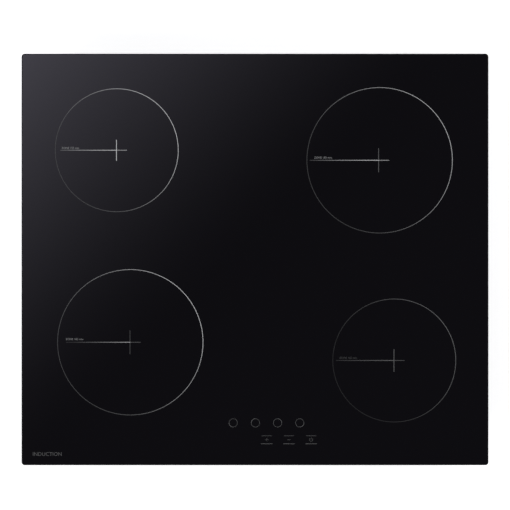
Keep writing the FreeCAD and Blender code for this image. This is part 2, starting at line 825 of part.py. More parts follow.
def ferrite_bar(name, radius, turn, x, y):
    """One bar under the carrier's floor, pointing away from the hub."""
    c, s = math.cos(math.radians(turn)), math.sin(math.radians(turn))
    half = "ferrite_wide / 2"
    made = block(
        name, f"{radius} - rim_thick - ferrite_end - ferrite_start", "ferrite_wide", "ferrite_thick",
        f"{x} + {c:.6f} * ferrite_start + {s:.6f} * {half}",
        f"{y} + {s:.6f} * ferrite_start - {c:.6f} * {half}",
        f"{FLOOR_Z} - ferrite_thick",
    )
    made.Placement.Rotation = FreeCAD.Rotation(FreeCAD.Vector(0, 0, 1), turn)
    return made


def build_sensor(name, x, y, seat):
    """The temperature sensor that stands in the hub and touches the glass."""
    body = new_body(name + "_probe")
    stem = "(hub_hole - 1)"
    section = sketch_on(body, name + "_probe_section", "XZ_Plane", x=x, z=f"-{y}")
    outline(section, [
        ("0", f"{seat} - 3"), (stem, f"{seat} - 3"), (stem, seat), ("sensor_radius + 1", seat),
        ("sensor_radius + 1", f"{seat} + 1.5"), ("sensor_radius", f"{seat} + 1.5"),
        ("sensor_radius", f"{GLASS_Z} - 1"), ("sensor_radius - 1", GLASS_Z), ("0", GLASS_Z),
    ])
    revolve(body, section)
    keep(body, name + "_coil_sensor")


# ---- fans ----


def low_x(sign, inner, width):
    """Lowest x of something whose inner edge is that far from the middle, on either side."""
    return inner if sign > 0 else f"-({inner}) - ({width})"


def build_fan(side, sign):
    """A radial fan: housing with its outlet towards the heatsink, and the impeller in it."""
    x, y = f"({sign} * fan_x)", "fan_y"
    duct_edge = "fan_x - fan_radius"
    duct_x = low_x(sign, duct_edge, "fan_duct_wide")
    flow_x = low_x(sign, f"{duct_edge} + fan_wall", "fan_duct_wide - 2 * fan_wall")
    outer = join(side + "_fan_outer", [
        rod(side + "_fan_drum", "fan_radius", FAN_TALL, x, y, "steel"),
        block(side + "_fan_duct", "fan_duct_wide", "fan_duct_long", FAN_TALL,
              duct_x, "fan_y - fan_duct_long", "steel"),
    ])
    hollow_z, hollow_tall = "steel + fan_wall", f"{FAN_TALL} - 2 * fan_wall"
    tools = [
        rod(side + "_fan_room", "fan_radius - fan_wall", hollow_tall, x, y, hollow_z),
        block(side + "_fan_flow", "fan_duct_wide - 2 * fan_wall", "fan_duct_long + 1", hollow_tall,
              flow_x, "fan_y - fan_duct_long - 1", hollow_z),
        rod(side + "_fan_mouth", FAN_INLET, "2 * fan_wall", x, y, "0"),
    ]
    keep(cut(side + "_fan_case", outer, tools), side + "_fan_housing")
    build_impeller(side, x, y)
    foot, roof = f"({ROTOR_LOW} + 3)", f"(steel + {FAN_TALL} - fan_wall)"
    stator = rod(side + "_stator", "stator_radius", f"{roof} - {foot}", x, y, foot)
    bore_foot = f"({foot} - 1)"
    bore = rod(
        side + "_stator_bore", "shaft_radius + shaft_fit", f"{ROTOR_TOP} - {bore_foot}", x, y, bore_foot
    )
    return cut(side + "_motor", stator, [bore])


def build_impeller(side, x, y):
    """Cup, shaft, back plate, forward-leaning blades and shroud ring."""
    body = new_body(side + "_rotor")
    rear = f"({ROTOR_TOP} - 1.5)"
    cup = "(stator_radius + rotor_gap)"
    section = sketch_on(body, side + "_rotor_section", "XZ_Plane", x=x, z=f"-{y}")
    outline(section, [
        ("0", ROTOR_LOW), ("cup_radius", ROTOR_LOW), ("cup_radius", rear), (ROTOR_RADIUS, rear),
        (ROTOR_RADIUS, ROTOR_TOP), (cup, ROTOR_TOP), (cup, f"{ROTOR_LOW} + 1.8"),
        ("shaft_radius", f"{ROTOR_LOW} + 1.8"), ("shaft_radius", f"{ROTOR_TOP} - 2"),
        ("0", f"{ROTOR_TOP} - 2"),
    ])
    revolve(body, section)
    blade = sketch_on(body, side + "_blade", x=x, y=y, z=ROTOR_LOW)
    start, end = f"({ROTOR_RADIUS} - blade_long)", f"({ROTOR_RADIUS} - 1.6)"
    lean = "(blade_long * tan(blade_lean * 1deg))"
    half = "blade_thick / 2"
    outline(blade, [(start, f"-{half}"), (end, f"{lean} - {half}"), (end, f"{lean} + {half}"), (start, half)])
    ring_of(body, pad(body, blade, f"{ROTOR_TOP} - {ROTOR_LOW} - 1"), blade, int(size("blade_count")))
    shroud = sketch_on(body, side + "_shroud", x=x, y=y, z=ROTOR_LOW)
    circle(shroud, ROTOR_RADIUS)
    circle(shroud, f"{ROTOR_RADIUS} - 2.4")
    pad(body, shroud, "1.2")
    keep(body, side + "_fan_impeller")


# ---- electronics ----


def build_boards():
    """The two power boards with a socket on the right one, and the mains filter board."""
    for name, x, y, width, depth in board_places():
        plate = block(name + "_plate", width, depth, "board_thick", x, y, "board_lift")
        if name == "right":
            socket = middle_block(
                "ribbon_socket", "ribbon_wide + 4", "socket_deep", "socket_tall",
                "ribbon_x", "board_front_y + socket_deep / 2", BOARD_TOP,
            )
            plate = join("right_plate_and_socket", [plate, socket])
        keep(plate, "filter_board" if name == "filter" else name + "_power_board")
    pieces = []
    for k, along in enumerate((0.27, 0.73)):
        spot = ("filter_x + filter_width / 2", f"filter_y + {along} * filter_depth", BOARD_TOP)
        pieces.append(disc(f"choke_{k}", "choke_radius", "choke_hole", "choke_tall", *spot))
    keep(group("chokes", pieces), "filter_chokes")


def build_heatsink(side, sign):
    """One finned extrusion that lies along the air stream."""
    body = new_body(side + "_sink")
    x = low_x(sign, "sink_inner_x", "sink_wide")
    middle_y = "sink_front_y + sink_long / 2"
    base = sketch_on(body, side + "_sink_base", z=BOARD_TOP)
    rectangle(base, "sink_wide", "sink_long", f"({x} + sink_wide / 2)", f"({middle_y})")
    pad(body, base, "sink_base")
    fin = sketch_on(body, side + "_sink_fin", z=BOARD_TOP)
    rectangle(fin, "fin_thick", "sink_long", f"({x} + fin_thick / 2)", f"({middle_y})")
    first = pad(body, fin, "sink_tall")
    row_of(body, first, "X_Axis", "sink_wide - fin_thick", int(size("fin_count")))
    return body


def power_device(name, sign, y):
    """A power transistor that stands against the heatsink's outer fin on three leads."""
    x = low_x(sign, "sink_inner_x + sink_wide", "device_thick")
    foot = f"{BOARD_TOP} + device_lift"
    case = block(name + "_case", "device_thick", "device_wide", "device_tall", x, y, foot)
    middle = f"{x} + device_thick / 2"
    leads = [
        middle_block(f"{name}_lead_{k}", "0.6", "1.2", "device_lift + 1", middle,
                     f"{y} + device_wide * {share}", BOARD_TOP)
        for k, share in enumerate((0.15, 0.5, 0.85))
    ]
    return join(name, [case] + leads)


def build_power_parts():
    """What the power boards carry: heatsinks, transistors and capacitors."""
    keep(group("sinks", [build_heatsink(side, sign) for side, sign in SIDES]), "heatsinks")
    devices, capacitors = [], []
    for side, sign in SIDES:
        for k in range(5):
            y = f"sink_front_y + sink_long * {0.08 + 0.185 * k:.3f}"
            devices.append(power_device(f"{side}_device_{k}", sign, y))
        for k in range(6):
            row, column = divmod(k, 2)
            x = low_x(sign, f"board_inner_x + 78 + {column} * 1.6 * capacitor_long", "capacitor_long")
            y = f"board_front_y + 34 + {row} * 62"
            shape = ("capacitor_long", "capacitor_wide", CAPACITOR_TALL)
            capacitors.append(block(f"{side}_capacitor_{k}", *shape, x, y, BOARD_TOP))
    keep(group("devices", devices), "power_semiconductors")
    keep(group("film_capacitors", capacitors), "capacitors")


# ---- mains connection ----


def build_terminal_box():
    """The box over the connection hatch, open below, with its wire entry and hinge holes."""
    outer = block("terminal_shell", "term_width", "term_depth", TERM_TALL, "box_x", "box_y", "steel")
    hollow = block(
        "terminal_room", "term_width - 2 * term_wall", "term_depth - 2 * term_wall",
        f"{TERM_TALL} - term_wall + 1", "box_x + term_wall", "box_y + term_wall", "steel - 1",
    )
    entry = middle_block(
        "terminal_entry", "entry_wide + 2 * frame_gap", "4 * term_wall", "entry_tall + 2 * frame_gap",
        "entry_x", "box_y + term_depth", "entry_z - entry_tall / 2 - frame_gap",
    )
    hinge = lying_rod(
        "terminal_hinge", "lid_pin + pin_fit", "term_width + 2", (1, 0, 0), "box_x - 1", HINGE_Y, HINGE_Z
    )
    keep(cut("terminal_case", outer, [hollow, entry, hinge]), "terminal_box")


def build_terminal_block():
    """The screw terminal block that hangs from the box's roof."""
    body = new_body("connector")
    x, y = "(box_x + term_width / 2)", "(box_y + term_depth * 0.45)"
    roof = f"({TERM_TOP} - term_wall)"
    base = sketch_on(body, "connector_base", z=f"{roof} - {BLOCK_TALL}")
    rectangle(base, "block_wide", "block_deep", x, y)
    pad(body, base, BLOCK_TALL)
    pitch = "block_wide / 6"
    start = f"{x} - 2.5 * {pitch}"
    well = sketch_on(body, "screw_well", z=f"{roof} - {BLOCK_TALL}")
    circle(well, "block_wide / 20", start, f"({y} - block_deep / 5)")
    row_of(body, pocket(body, well, f"{BLOCK_TALL} / 2", back=True), "X_Axis", f"5 * {pitch}", 6)
    mouth = sketch_on(body, "wire_mouth", "XZ_Plane", z=f"-({y} + block_deep / 2)")
    rectangle(mouth, "block_wide / 11", "block_wide / 11", start, f"({roof} - {BLOCK_TALL} * 0.6)")
    row_of(body, pocket(body, mouth, "block_deep / 2", back=True), "X_Axis", f"5 * {pitch}", 6)
    keep(body, "terminal_block")


def build_terminal_cover():
    """The hinged lid of the connection hatch, with barrel, pins and two grip ribs."""
    start_x, width = "box_x + term_wall + lid_gap", "(term_width - 2 * term_wall - 2 * lid_gap)"
    depth = f"box_y + term_depth - term_wall - lid_gap - ({HINGE_Y})"
    plate = block("lid_plate", width, depth, "lid_thick", start_x, HINGE_Y, "lid_lift")
    barrel = lying_rod("lid_roll", "lid_barrel", width, (1, 0, 0), start_x, HINGE_Y, HINGE_Z)
    reach = "(term_width - 2 * term_wall + 2 * 0.8 * term_wall)"
    pins = lying_rod("lid_pins", "lid_pin", reach, (1, 0, 0), "box_x + 0.2 * term_wall", HINGE_Y, HINGE_Z)
    ribs = [
        middle_block(f"lid_rib_{k}", "1.6", "term_depth / 2", "lid_rib", f"box_x + {share} * term_width",
                     "box_y + term_depth / 2", "lid_lift + lid_thick")
        for k, share in enumerate((0.2, 0.8))
    ]
    keep(join("lid", [plate, barrel, pins] + ribs), "terminal_cover")


def build_grommet():
    """The rubber cable entry that is clamped between the box and the rear wall."""
    y = "box_y + term_depth - term_wall"
    inner_face, outer_face = "box_y + term_depth", "box_depth / 2"
    foot = "entry_z - entry_tall / 2"
    sleeve = middle_block("entry_sleeve", "entry_wide", f"{outer_face} - ({y})", "entry_tall",
                          "entry_x", f"(({y}) + {outer_face}) / 2", foot)
    lip_wide, lip_tall = "entry_wide + 2 * entry_lip", "entry_tall + 2 * entry_lip"
    lip_foot = f"{foot} - entry_lip"
    gap = f"({outer_face} - steel - ({inner_face}))"
    inner_lip = middle_block("entry_inner_lip", lip_wide, gap, lip_tall, "entry_x",
                             f"{inner_face} + {gap} / 2", lip_foot)
    outer_lip = middle_block("entry_outer_lip", lip_wide, "entry_wall", lip_tall, "entry_x",
                             f"{outer_face} + entry_wall / 2", lip_foot)
    opening = middle_block("entry_opening", "entry_wide - 2 * entry_wall", "box_depth",
                           "entry_tall - 2 * entry_wall", "entry_x", "box_depth / 2", f"{foot} + entry_wall")
    keep(cut("entry", join("entry_body", [sleeve, inner_lip, outer_lip]), [opening]), "cable_grommet")


# ---- touch control ----


def key_places():
    """The seven touch keys: four zone keys behind, three bar keys in front."""
    upper = [(f"key_x + {k - 1.5} * key_pitch", "upper_key_y") for k in range(4)]
    lower = [(f"lower_key_x + {k} * key_pitch", "lower_key_y") for k in (-1, 0, 1)]
    return upper + lower


def build_touch_control():
    """Holder, board, sensor springs and digit displays under the key field."""
    floor, top = TOUCH_FLOOR, "touch_tall"
    middle_x, middle_y = "touch_x + touch_width / 2", "touch_y + touch_depth / 2"
    outer = block("touch_outer", "touch_width", "touch_depth", top, "touch_x", "touch_y", floor)
    room = block(
        "touch_room", "touch_width - 2 * touch_wall", "touch_depth - 2 * touch_wall", top,
        "touch_x + touch_wall", "touch_y + touch_wall", f"{floor} + touch_wall",
    )
    gate = middle_block("touch_gate", "ribbon_wide + 2", "ribbon_thick + 2", "4 * touch_wall",
                        "ribbon_x", "ribbon_y", f"{floor} - touch_wall")
    pieces = [cut("touch_dish", outer, [room, gate])]
    for k, (x_sign, y_sign) in enumerate(clamp_signs()):
        inset = "touch_wall + touch_post + 1"
        x = f"{middle_x} + {x_sign} * (touch_width / 2 - ({inset}))"
        y = f"{middle_y} + {y_sign} * (touch_depth / 2 - ({inset}))"
        pieces.append(rod(f"touch_leg_{k}", "touch_post", f"{floor} - tray_top", x, y, "tray_top"))
        pieces.append(rod(f"touch_boss_{k}", "touch_post", f"{TOUCH_BOARD} - {floor}", x, y, floor))
    keep(join("touch_frame", pieces), "touch_holder")
    board = middle_block(
        "touch_plate", "touch_width - 2 * touch_wall - 2", "touch_depth - 2 * touch_wall - 2", "board_thick",
        middle_x, middle_y, TOUCH_BOARD,
    )
    keep(board, "touch_board")
    seat = f"({TOUCH_BOARD} + board_thick)"
    springs = [
        helix_spring(f"key_spring_{k}", "touch_wire", "touch_spring - touch_wire / 2",
                     f"({GLASS_Z} - {seat})", "5", x, y, seat)
        for k, (x, y) in enumerate(key_places())
    ]
    keep(group("key_springs", springs), "touch_springs")
    digits = [
        middle_block(f"digit_{k}", "digit_wide", "digit_deep", "digit_tall", x, y, seat)
        for k, (x, y) in enumerate(key_places()[:4])
    ]
    keep(group("digits", digits), "digit_displays")


def build_ribbon():
    """The flat cable from the touch board down through the tray to the right power board."""
    west = "ribbon_x - ribbon_wide / 2"
    centre_y, centre_z = "(ribbon_y + ribbon_bend)", "(ribbon_z + ribbon_bend)"
    half = "ribbon_thick / 2"
    drop = block("ribbon_drop", "ribbon_wide", "ribbon_thick", f"{TOUCH_BOARD} - {centre_z}",
                 west, f"ribbon_y - {half}", centre_z)
    run = block("ribbon_run", "ribbon_wide", f"board_front_y - {centre_y}", "ribbon_thick",
                west, centre_y, f"ribbon_z - {half}")
    outer = lying_rod("ribbon_outer", f"ribbon_bend + {half}", "ribbon_wide", (1, 0, 0),
                      west, centre_y, centre_z)
    inner = lying_rod("ribbon_inner", f"ribbon_bend - {half}", "ribbon_wide + 2", (1, 0, 0),
                      f"{west} - 1", centre_y, centre_z)
    quarter = doc.addObject("Part::MultiCommon", "ribbon_quarter")
    corner = block("ribbon_corner", "ribbon_wide", "2 * ribbon_bend", "2 * ribbon_bend",
                   west, f"{centre_y} - 2 * ribbon_bend", f"{centre_z} - 2 * ribbon_bend")
    quarter.Shapes = [outer, corner]
    keep(join("ribbon", [drop, run, cut("ribbon_turn", quarter, [inner])]), "ribbon_cable")


# ---- fasteners and worktop clamps ----


def build_side_screws():
    """Pan-head screws through the base's walls into the frame's skirt."""
    height = "box_height - screw_drop"
    spots = []
    for sign in (-1, 1):
        for x in ("screw_outer_x", "screw_inner_x", "-screw_inner_x", "-screw_outer_x"):
            spots.append((x, f"{sign} * box_depth / 2", (0, sign, 0)))
        for y in ("screw_side_y", "-screw_side_y"):
            spots.append((f"{sign} * box_width / 2", y, (sign, 0, 0)))
    screws = []
    for k, (x, y, way) in enumerate(spots):
        shank = lying_rod(f"screw_shank_{k}", "screw_radius", "screw_long", way,
                          f"{x} - {way[0]} * screw_long", f"{y} - {way[1]} * screw_long", height)
        head = lying_rod(f"screw_head_{k}", "screw_head", "screw_head_tall", way, x, y, height)
        screws.append(join(f"screw_{k}", [shank, head]))
    keep(group("side_screws", screws), "frame_screws")


def build_clamp(name, x_sign, y_sign):
    """One worktop clamp: a cranked arm on an upright bolt."""
    x, y = f"({x_sign} * {CLAMP_X})", f"({y_sign} * clamp_y)"
    arm = new_body(name + "_strip")
    low, tip = "clamp_low", "(clamp_low + clamp_crank)"
    rise = "(clamp_flat + clamp_crank)"
    side_view = [
        ("-clamp_wide / 2", low), ("clamp_flat", low), (rise, tip), ("clamp_long", tip),
        ("clamp_long", f"{tip} + clamp_sheet"), (f"{rise} - clamp_sheet / 2", f"{tip} + clamp_sheet"),
        ("clamp_flat - clamp_sheet / 2", f"{low} + clamp_sheet"), ("-clamp_wide / 2", f"{low} + clamp_sheet"),
    ]
    section = sketch_on(arm, name + "_section", "YZ_Plane", x=y, z=x)
    outline(section, [(f"{-y_sign} * ({along})", z) for along, z in side_view])
    pad(arm, section, "clamp_wide", both_ways=True)
    bore = sketch_on(arm, name + "_bore", x=x, y=y, z="clamp_low")
    circle(bore, "bolt_radius + bolt_fit")
    pocket(arm, bore, "4 * clamp_sheet", both_ways=True)
    keep(arm, name + "_clamp_arm")
    bolt = new_body(name + "_bolt")
    turned = sketch_on(bolt, name + "_bolt_section", "XZ_Plane", x=x, z=f"-{y}")
    foot = "(clamp_low - bolt_head_tall)"
    outline(turned, [
        ("0", foot), ("bolt_head - 1", foot), ("bolt_head", f"{foot} + 1"), ("bolt_head", "clamp_low"),
        ("bolt_radius", "clamp_low"), ("bolt_radius", "bolt_end - 1"), ("bolt_radius - 1", "bolt_end"),
        ("0", "bolt_end"),
    ])
    revolve(bolt, turned)
    recess = sketch_on(bolt, name + "_recess", x=x, y=y, z=foot)
    arm_half, web_half = "bolt_head * 0.55", "bolt_head * 0.12"
    cross = [
        (web_half, arm_half), (f"-{web_half}", arm_half), (f"-{web_half}", web_half),
        (f"-{arm_half}", web_half), (f"-{arm_half}", f"-{web_half}"), (f"-{web_half}", f"-{web_half}"),
        (f"-{web_half}", f"-{arm_half}"), (web_half, f"-{arm_half}"), (web_half, f"-{web_half}"),
        (arm_half, f"-{web_half}"), (arm_half, web_half), (web_half, web_half),
    ]
    outline(recess, cross)
    pocket(bolt, recess, "bolt_head_tall / 2", back=True)
    keep(bolt, name + "_clamp_screw")


def finish():
    """Recompute, check every object, and write each sub-part."""
    doc.recompute()
    failed = [item.Name for item in doc.Objects if {"Invalid", "Error"} & set(item.State)]
    failed += [item.Label for item in parts if item.Shape.isNull() or not item.Shape.isValid()]
    if failed:
        raise SystemExit("failed: " + ", ".join(failed))
    os.makedirs("parts", exist_ok=True)
    for item in parts:
        item.Shape.exportStep(f"parts/{item.Label}.step")
    print(len(parts), "parts written")


fill_sheet()
build_glass()
build_seals()
build_frame()
build_base()
build_coil_tray()
for coil in COILS:
    build_coil(*coil)
keep(group("motors", [build_fan(side, sign) for side, sign in SIDES]), "fan_motors")
build_boards()
build_power_parts()
build_terminal_box()
build_terminal_block()
build_terminal_cover()
build_grommet()
build_touch_control()
build_ribbon()
build_side_screws()
for x_sign, y_sign in clamp_signs():
    depth_name = "front" if y_sign < 0 else "rear"
    side_name = "left" if x_sign < 0 else "right"
    build_clamp(f"{depth_name}_{side_name}", x_sign, y_sign)
finish()
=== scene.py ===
"""Looks of a built-in induction cooktop: finishes, detail pieces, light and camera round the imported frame."""

import json
import logging
import math
from collections.abc import Callable, Iterator, Sequence
from contextlib import contextmanager
from dataclasses import dataclass
from enum import Enum

import bmesh
import bpy
from mathutils import Matrix, Vector


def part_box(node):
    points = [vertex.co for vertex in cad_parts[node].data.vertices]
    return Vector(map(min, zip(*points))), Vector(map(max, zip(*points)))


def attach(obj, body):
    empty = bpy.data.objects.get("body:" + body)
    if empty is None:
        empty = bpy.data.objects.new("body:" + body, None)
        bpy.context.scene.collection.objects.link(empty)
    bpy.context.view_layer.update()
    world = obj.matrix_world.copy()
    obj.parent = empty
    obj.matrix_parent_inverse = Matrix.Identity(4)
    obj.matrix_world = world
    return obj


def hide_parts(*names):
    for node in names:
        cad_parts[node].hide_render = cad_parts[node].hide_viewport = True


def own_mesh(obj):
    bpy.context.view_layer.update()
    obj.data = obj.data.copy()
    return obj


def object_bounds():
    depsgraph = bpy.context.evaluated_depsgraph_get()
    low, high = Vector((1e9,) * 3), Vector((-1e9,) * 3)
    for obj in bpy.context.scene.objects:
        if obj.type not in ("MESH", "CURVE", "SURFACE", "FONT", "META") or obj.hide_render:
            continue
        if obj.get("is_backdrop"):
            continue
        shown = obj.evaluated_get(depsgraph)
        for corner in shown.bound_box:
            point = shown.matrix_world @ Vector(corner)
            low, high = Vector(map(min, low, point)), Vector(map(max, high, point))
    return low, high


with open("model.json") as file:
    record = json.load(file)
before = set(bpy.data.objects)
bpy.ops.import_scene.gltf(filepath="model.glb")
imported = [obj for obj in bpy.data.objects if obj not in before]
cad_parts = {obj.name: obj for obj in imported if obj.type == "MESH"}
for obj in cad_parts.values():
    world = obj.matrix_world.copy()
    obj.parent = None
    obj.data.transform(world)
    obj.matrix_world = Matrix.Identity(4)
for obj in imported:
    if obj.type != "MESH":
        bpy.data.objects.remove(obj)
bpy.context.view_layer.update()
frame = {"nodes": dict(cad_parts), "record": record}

MM = 0.001
SAME_POINT = 0.002 * MM  # corners nearer than this are one corner
LOG = logging.getLogger("cooktop")

Point = tuple[float, float, float]
Spot = tuple[float, float]


# ---- modelling helpers ----


class Primitive(Enum):
    """The primitives that pieces start from."""

    CUBE = "cube"
    TORUS = "torus"
    PLANE = "plane"
    GRID = "grid"


def deselect() -> None:
    """Leave edit mode and select nothing."""
    if bpy.context.mode != "OBJECT":
        bpy.ops.object.mode_set(mode="OBJECT")
    bpy.ops.object.select_all(action="DESELECT")


def select(*pieces: bpy.types.Object) -> None:
    """Select just these pieces, the first one active.

    Args:
        pieces: objects to select.
    """
    deselect()
    for piece in pieces:
        piece.select_set(True)
    bpy.context.view_layer.objects.active = pieces[0]


def add(kind: Primitive, name: str, place: Point, scale: Point = (1, 1, 1), turn: Point = (0, 0, 0), **how
        ) -> bpy.types.Object:
    """Add a primitive and put its size and place into its mesh.

    Args:
        kind: which primitive.
        name: name of the new piece.
        place: where its middle goes.
        scale: size factors.
        turn: rotation in radians about X, Y and Z.
        how: the primitive's own settings.

    Returns:
        The new object, at the origin.
    """
    deselect()
    getattr(bpy.ops.mesh, f"primitive_{kind.value}_add")(location=place, rotation=turn, **how)
    piece = bpy.context.object
    piece.name = piece.data.name = name
    piece.scale = scale
    bpy.ops.object.transform_apply(location=True, rotation=True, scale=True)
    return piece


@contextmanager
def editing(piece: bpy.types.Object, mode: str = "FACE") -> Iterator[None]:
    """Work on one piece in edit mode with nothing selected at first.

    Args:
        piece: the piece to shape.
        mode: FACE, EDGE or VERT.
    """
    select(piece)
    bpy.ops.object.mode_set(mode="EDIT")
    bpy.ops.mesh.select_mode(type=mode)
    bpy.ops.mesh.select_all(action="DESELECT")
    yield
    bpy.ops.object.mode_set(mode="OBJECT")


def pick(piece: bpy.types.Object, kind: str, test: Callable) -> None:
    """Select faces, edges or verts by a test on their place or normal.

    Args:
        piece: the piece in edit mode.
        kind: faces, edges or verts.
        test: says whether one of them is wanted.
    """
    shape = bmesh.from_edit_mesh(piece.data)
    wanted = [part for part in getattr(shape, kind) if test(part)]
    for part in wanted:
        part.select_set(True)
    bmesh.update_edit_mesh(piece.data)


def merge_corners() -> None:
    """In edit mode, make corners in the same place one, over the whole piece."""
    bpy.ops.mesh.select_all(action="SELECT")
    bpy.ops.mesh.remove_doubles(threshold=SAME_POINT)


def use_modifier(piece: bpy.types.Object, kind: str, **settings) -> None:
    """Add a modifier and apply it.

    Args:
        piece: the piece it works on.
        kind: the modifier's type.
        settings: its settings.
    """
    select(piece)
    modifier = piece.modifiers.new(kind.title(), kind)
    for name, value in settings.items():
        setattr(modifier, name, value)
    bpy.ops.object.modifier_apply(modifier=modifier.name)


def soften(piece: bpy.types.Object, width: float, segments: int = 2) -> None:
    """Round the sharp edges of a piece by that width.

    Args:
        piece: the piece.
        width: how far the rounding reaches.
        segments: how many steps it has.
    """
    shade(piece)
    use_modifier(piece, "BEVEL", width=width, segments=segments, limit_method="ANGLE", harden_normals=True)


def shade(piece: bpy.types.Object, degrees: float = 35) -> None:
    """Shade a piece smooth except over sharp edges."""
    select(piece)
    bpy.ops.object.shade_smooth_by_angle(angle=math.radians(degrees))


def copy_at(piece: bpy.types.Object, name: str, move: Matrix) -> bpy.types.Object:
    """Copy a piece with its own mesh to another place.

    Args:
        piece: what to copy.
        name: name of the copy.
        move: where it goes, from the piece's own place.

    Returns:
        The copy.
    """
    twin = piece.copy()
    twin.data = piece.data.copy()
    twin.name = twin.data.name = name
    bpy.context.scene.collection.objects.link(twin)
    twin.data.transform(move)
    return twin


def joined(name: str, pieces: Sequence[bpy.types.Object]) -> bpy.types.Object:
    """Join pieces into one object under a new name."""
    select(*pieces)
    if len(pieces) > 1:
        bpy.ops.object.join()
    whole = bpy.context.object
    whole.name = whole.data.name = name
    return whole


def spun(name: str, profile: Sequence[Spot], steps: int, sweep: float = math.tau,
         axis: Point = (0, 0, 1)) -> bpy.types.Object:
    """Spin a profile about the Z axis.

    Args:
        name: name of the piece.
        profile: radius and height of each point.
        steps: how many flats the turn has.
        sweep: how far it goes round, in radians.
        axis: the Z axis, upwards or downwards, which sets the way round.

    Returns:
        The surface that the profile sweeps over.
    """
    piece = add(Primitive.PLANE, name, (0, 0, 0), size=MM)
    with editing(piece, "VERT"):
        bpy.ops.mesh.select_all(action="SELECT")
        bpy.ops.mesh.merge(type="CENTER")
        bpy.ops.transform.translate(value=(profile[0][0], 0, profile[0][1]))
        for (before_r, before_z), (radius, height) in zip(profile, profile[1:]):
            step = {"value": (radius - before_r, 0, height - before_z)}
            bpy.ops.mesh.extrude_vertices_move(TRANSFORM_OT_translate=step)
        bpy.ops.mesh.select_all(action="SELECT")
        bpy.ops.mesh.spin(steps=steps, angle=sweep, center=(0, 0, 0), axis=axis)
        merge_corners()
    return piece


def face_outwards(piece: bpy.types.Object) -> None:
    """Turn every face of a closed piece outwards."""
    with editing(piece):
        bpy.ops.mesh.select_all(action="SELECT")
        bpy.ops.mesh.normals_make_consistent(inside=False)


def pointing(way: Point) -> Matrix:
    """The rotation that turns upwards into that way."""
    return Vector(way).to_track_quat("Z", "Y").to_matrix().to_4x4()


def turned(name: str, profile: Sequence[Spot], place: Point, steps: int = 32,
           way: Point = (0, 0, 1)) -> bpy.types.Object:
    """Turn a profile about an axis, as on a lathe.

    Args:
        name: name of the piece.
        profile: radius and height of each point; it starts and ends on the axis or closes on itself.
        place: where the axis's zero height is.
        steps: how many flats the turn has.
        way: which way the axis points.

    Returns:
        The closed piece.
    """
    piece = spun(name, profile, steps)
    face_outwards(piece)
    piece.data.transform(pointing(way))
    piece.data.transform(Matrix.Translation(place))
    shade(piece)
    return piece


def block(name: str, low: Point, high: Point, edge: float = 0.0) -> bpy.types.Object:
    """A box between two corners, with its edges rounded.

    Args:
        name: name of the piece.
        low: lowest corner.
        high: highest corner.
        edge: radius of the edges, or 0.

    Returns:
        The piece.
    """
    middle = tuple((a + b) / 2 for a, b in zip(low, high))
    piece = add(Primitive.CUBE, name, middle, tuple(b - a for a, b in zip(low, high)), size=1)
    if edge:
        soften(piece, edge)
    return piece


def tube_through(name: str, points: Sequence[Point], radius: float, sides: int = 2) -> bpy.types.Object:
    """A round wire along smooth points, as a closed mesh.

    Args:
        name: name of the piece.
        points: the places it passes.
        radius: the wire's radius.
        sides: bevel resolution.

    Returns:
        The wire.
    """
    deselect()
    bpy.ops.curve.primitive_nurbs_path_add()
    wire = bpy.context.object
    wire.name = name
    wire.data.splines.clear()
    spline = wire.data.splines.new("NURBS")
    spline.points.add(len(points) - 1)
    for control, spot in zip(spline.points, points):
        control.co = (*spot, 1)
    spline.order_u = 3
    spline.use_endpoint_u = True
    spline.resolution_u = 2
    wire.data.bevel_depth = radius
    wire.data.bevel_resolution = sides
    wire.data.use_fill_caps = True
    select(wire)
    bpy.ops.object.convert(target="MESH")
    wire = bpy.context.object
    wire.data.name = name
    with editing(wire, "VERT"):
        merge_corners()
    face_outwards(wire)
    shade(wire, 60)
    return wire


def solids(name: str) -> list[tuple[Vector, Vector]]:
    """The lowest and highest corner of each separate solid in a CAD node.

    Args:
        name: the node's name.

    Returns:
        One pair of corners for each solid, in a fixed order.
    """
    source = frame["nodes"][name]
    scratch = source.copy()
    scratch.data = source.data.copy()
    scratch.parent = None
    bpy.context.scene.collection.objects.link(scratch)
    with editing(scratch, "VERT"):
        merge_corners()
        bpy.ops.mesh.separate(type="LOOSE")
    loose = list(bpy.context.selected_objects)
    boxes = []
    for piece in loose:
        spots = [vertex.co for vertex in piece.data.vertices]
        low, high = (Vector([limit(spot[axis] for spot in spots) for axis in range(3)])
                     for limit in (min, max))
        boxes.append((low, high))
        bpy.data.objects.remove(piece)
    return sorted(boxes, key=lambda pair: tuple(round(value, 5) for value in (*pair[0], *pair[1])))


def middle_of(low: Vector, high: Vector) -> Vector:
    """The middle between two corners."""
    return (low + high) / 2


# ---- finishes ----


def linear(colour: str) -> tuple[float, float, float, float]:
    """Turn an sRGB hex colour into linear RGBA."""
    parts = [int(colour[start:start + 2], 16) / 255 for start in (1, 3, 5)]
    red, green, blue = (c / 12.92 if c <= 0.04045 else ((c + 0.055) / 1.055) ** 2.4 for c in parts)
    return red, green, blue, 1.0


def node(tree: bpy.types.NodeTree, kind: str, inputs: dict | None = None, **settings) -> bpy.types.Node:
    """Add a shader node with its settings, values and links.

    Args:
        tree: the material's node tree.
        kind: the node's type without its ShaderNode prefix.
        inputs: for each input, a value or the output that feeds it.
        settings: the node's own settings.

    Returns:
        The node.
    """
    made = tree.nodes.new("ShaderNode" + kind)
    for name, value in settings.items():
        setattr(made, name, value)
    for key, value in (inputs or {}).items():
        if isinstance(value, bpy.types.NodeSocket):
            tree.links.new(value, made.inputs[key])
        else:
            made.inputs[key].default_value = value
    return made


def blank_material(name: str) -> bpy.types.Material:
    """A material with an empty node tree."""
    material = bpy.data.materials.new(name)
    material.use_nodes = True
    material.node_tree.nodes.clear()
    return material


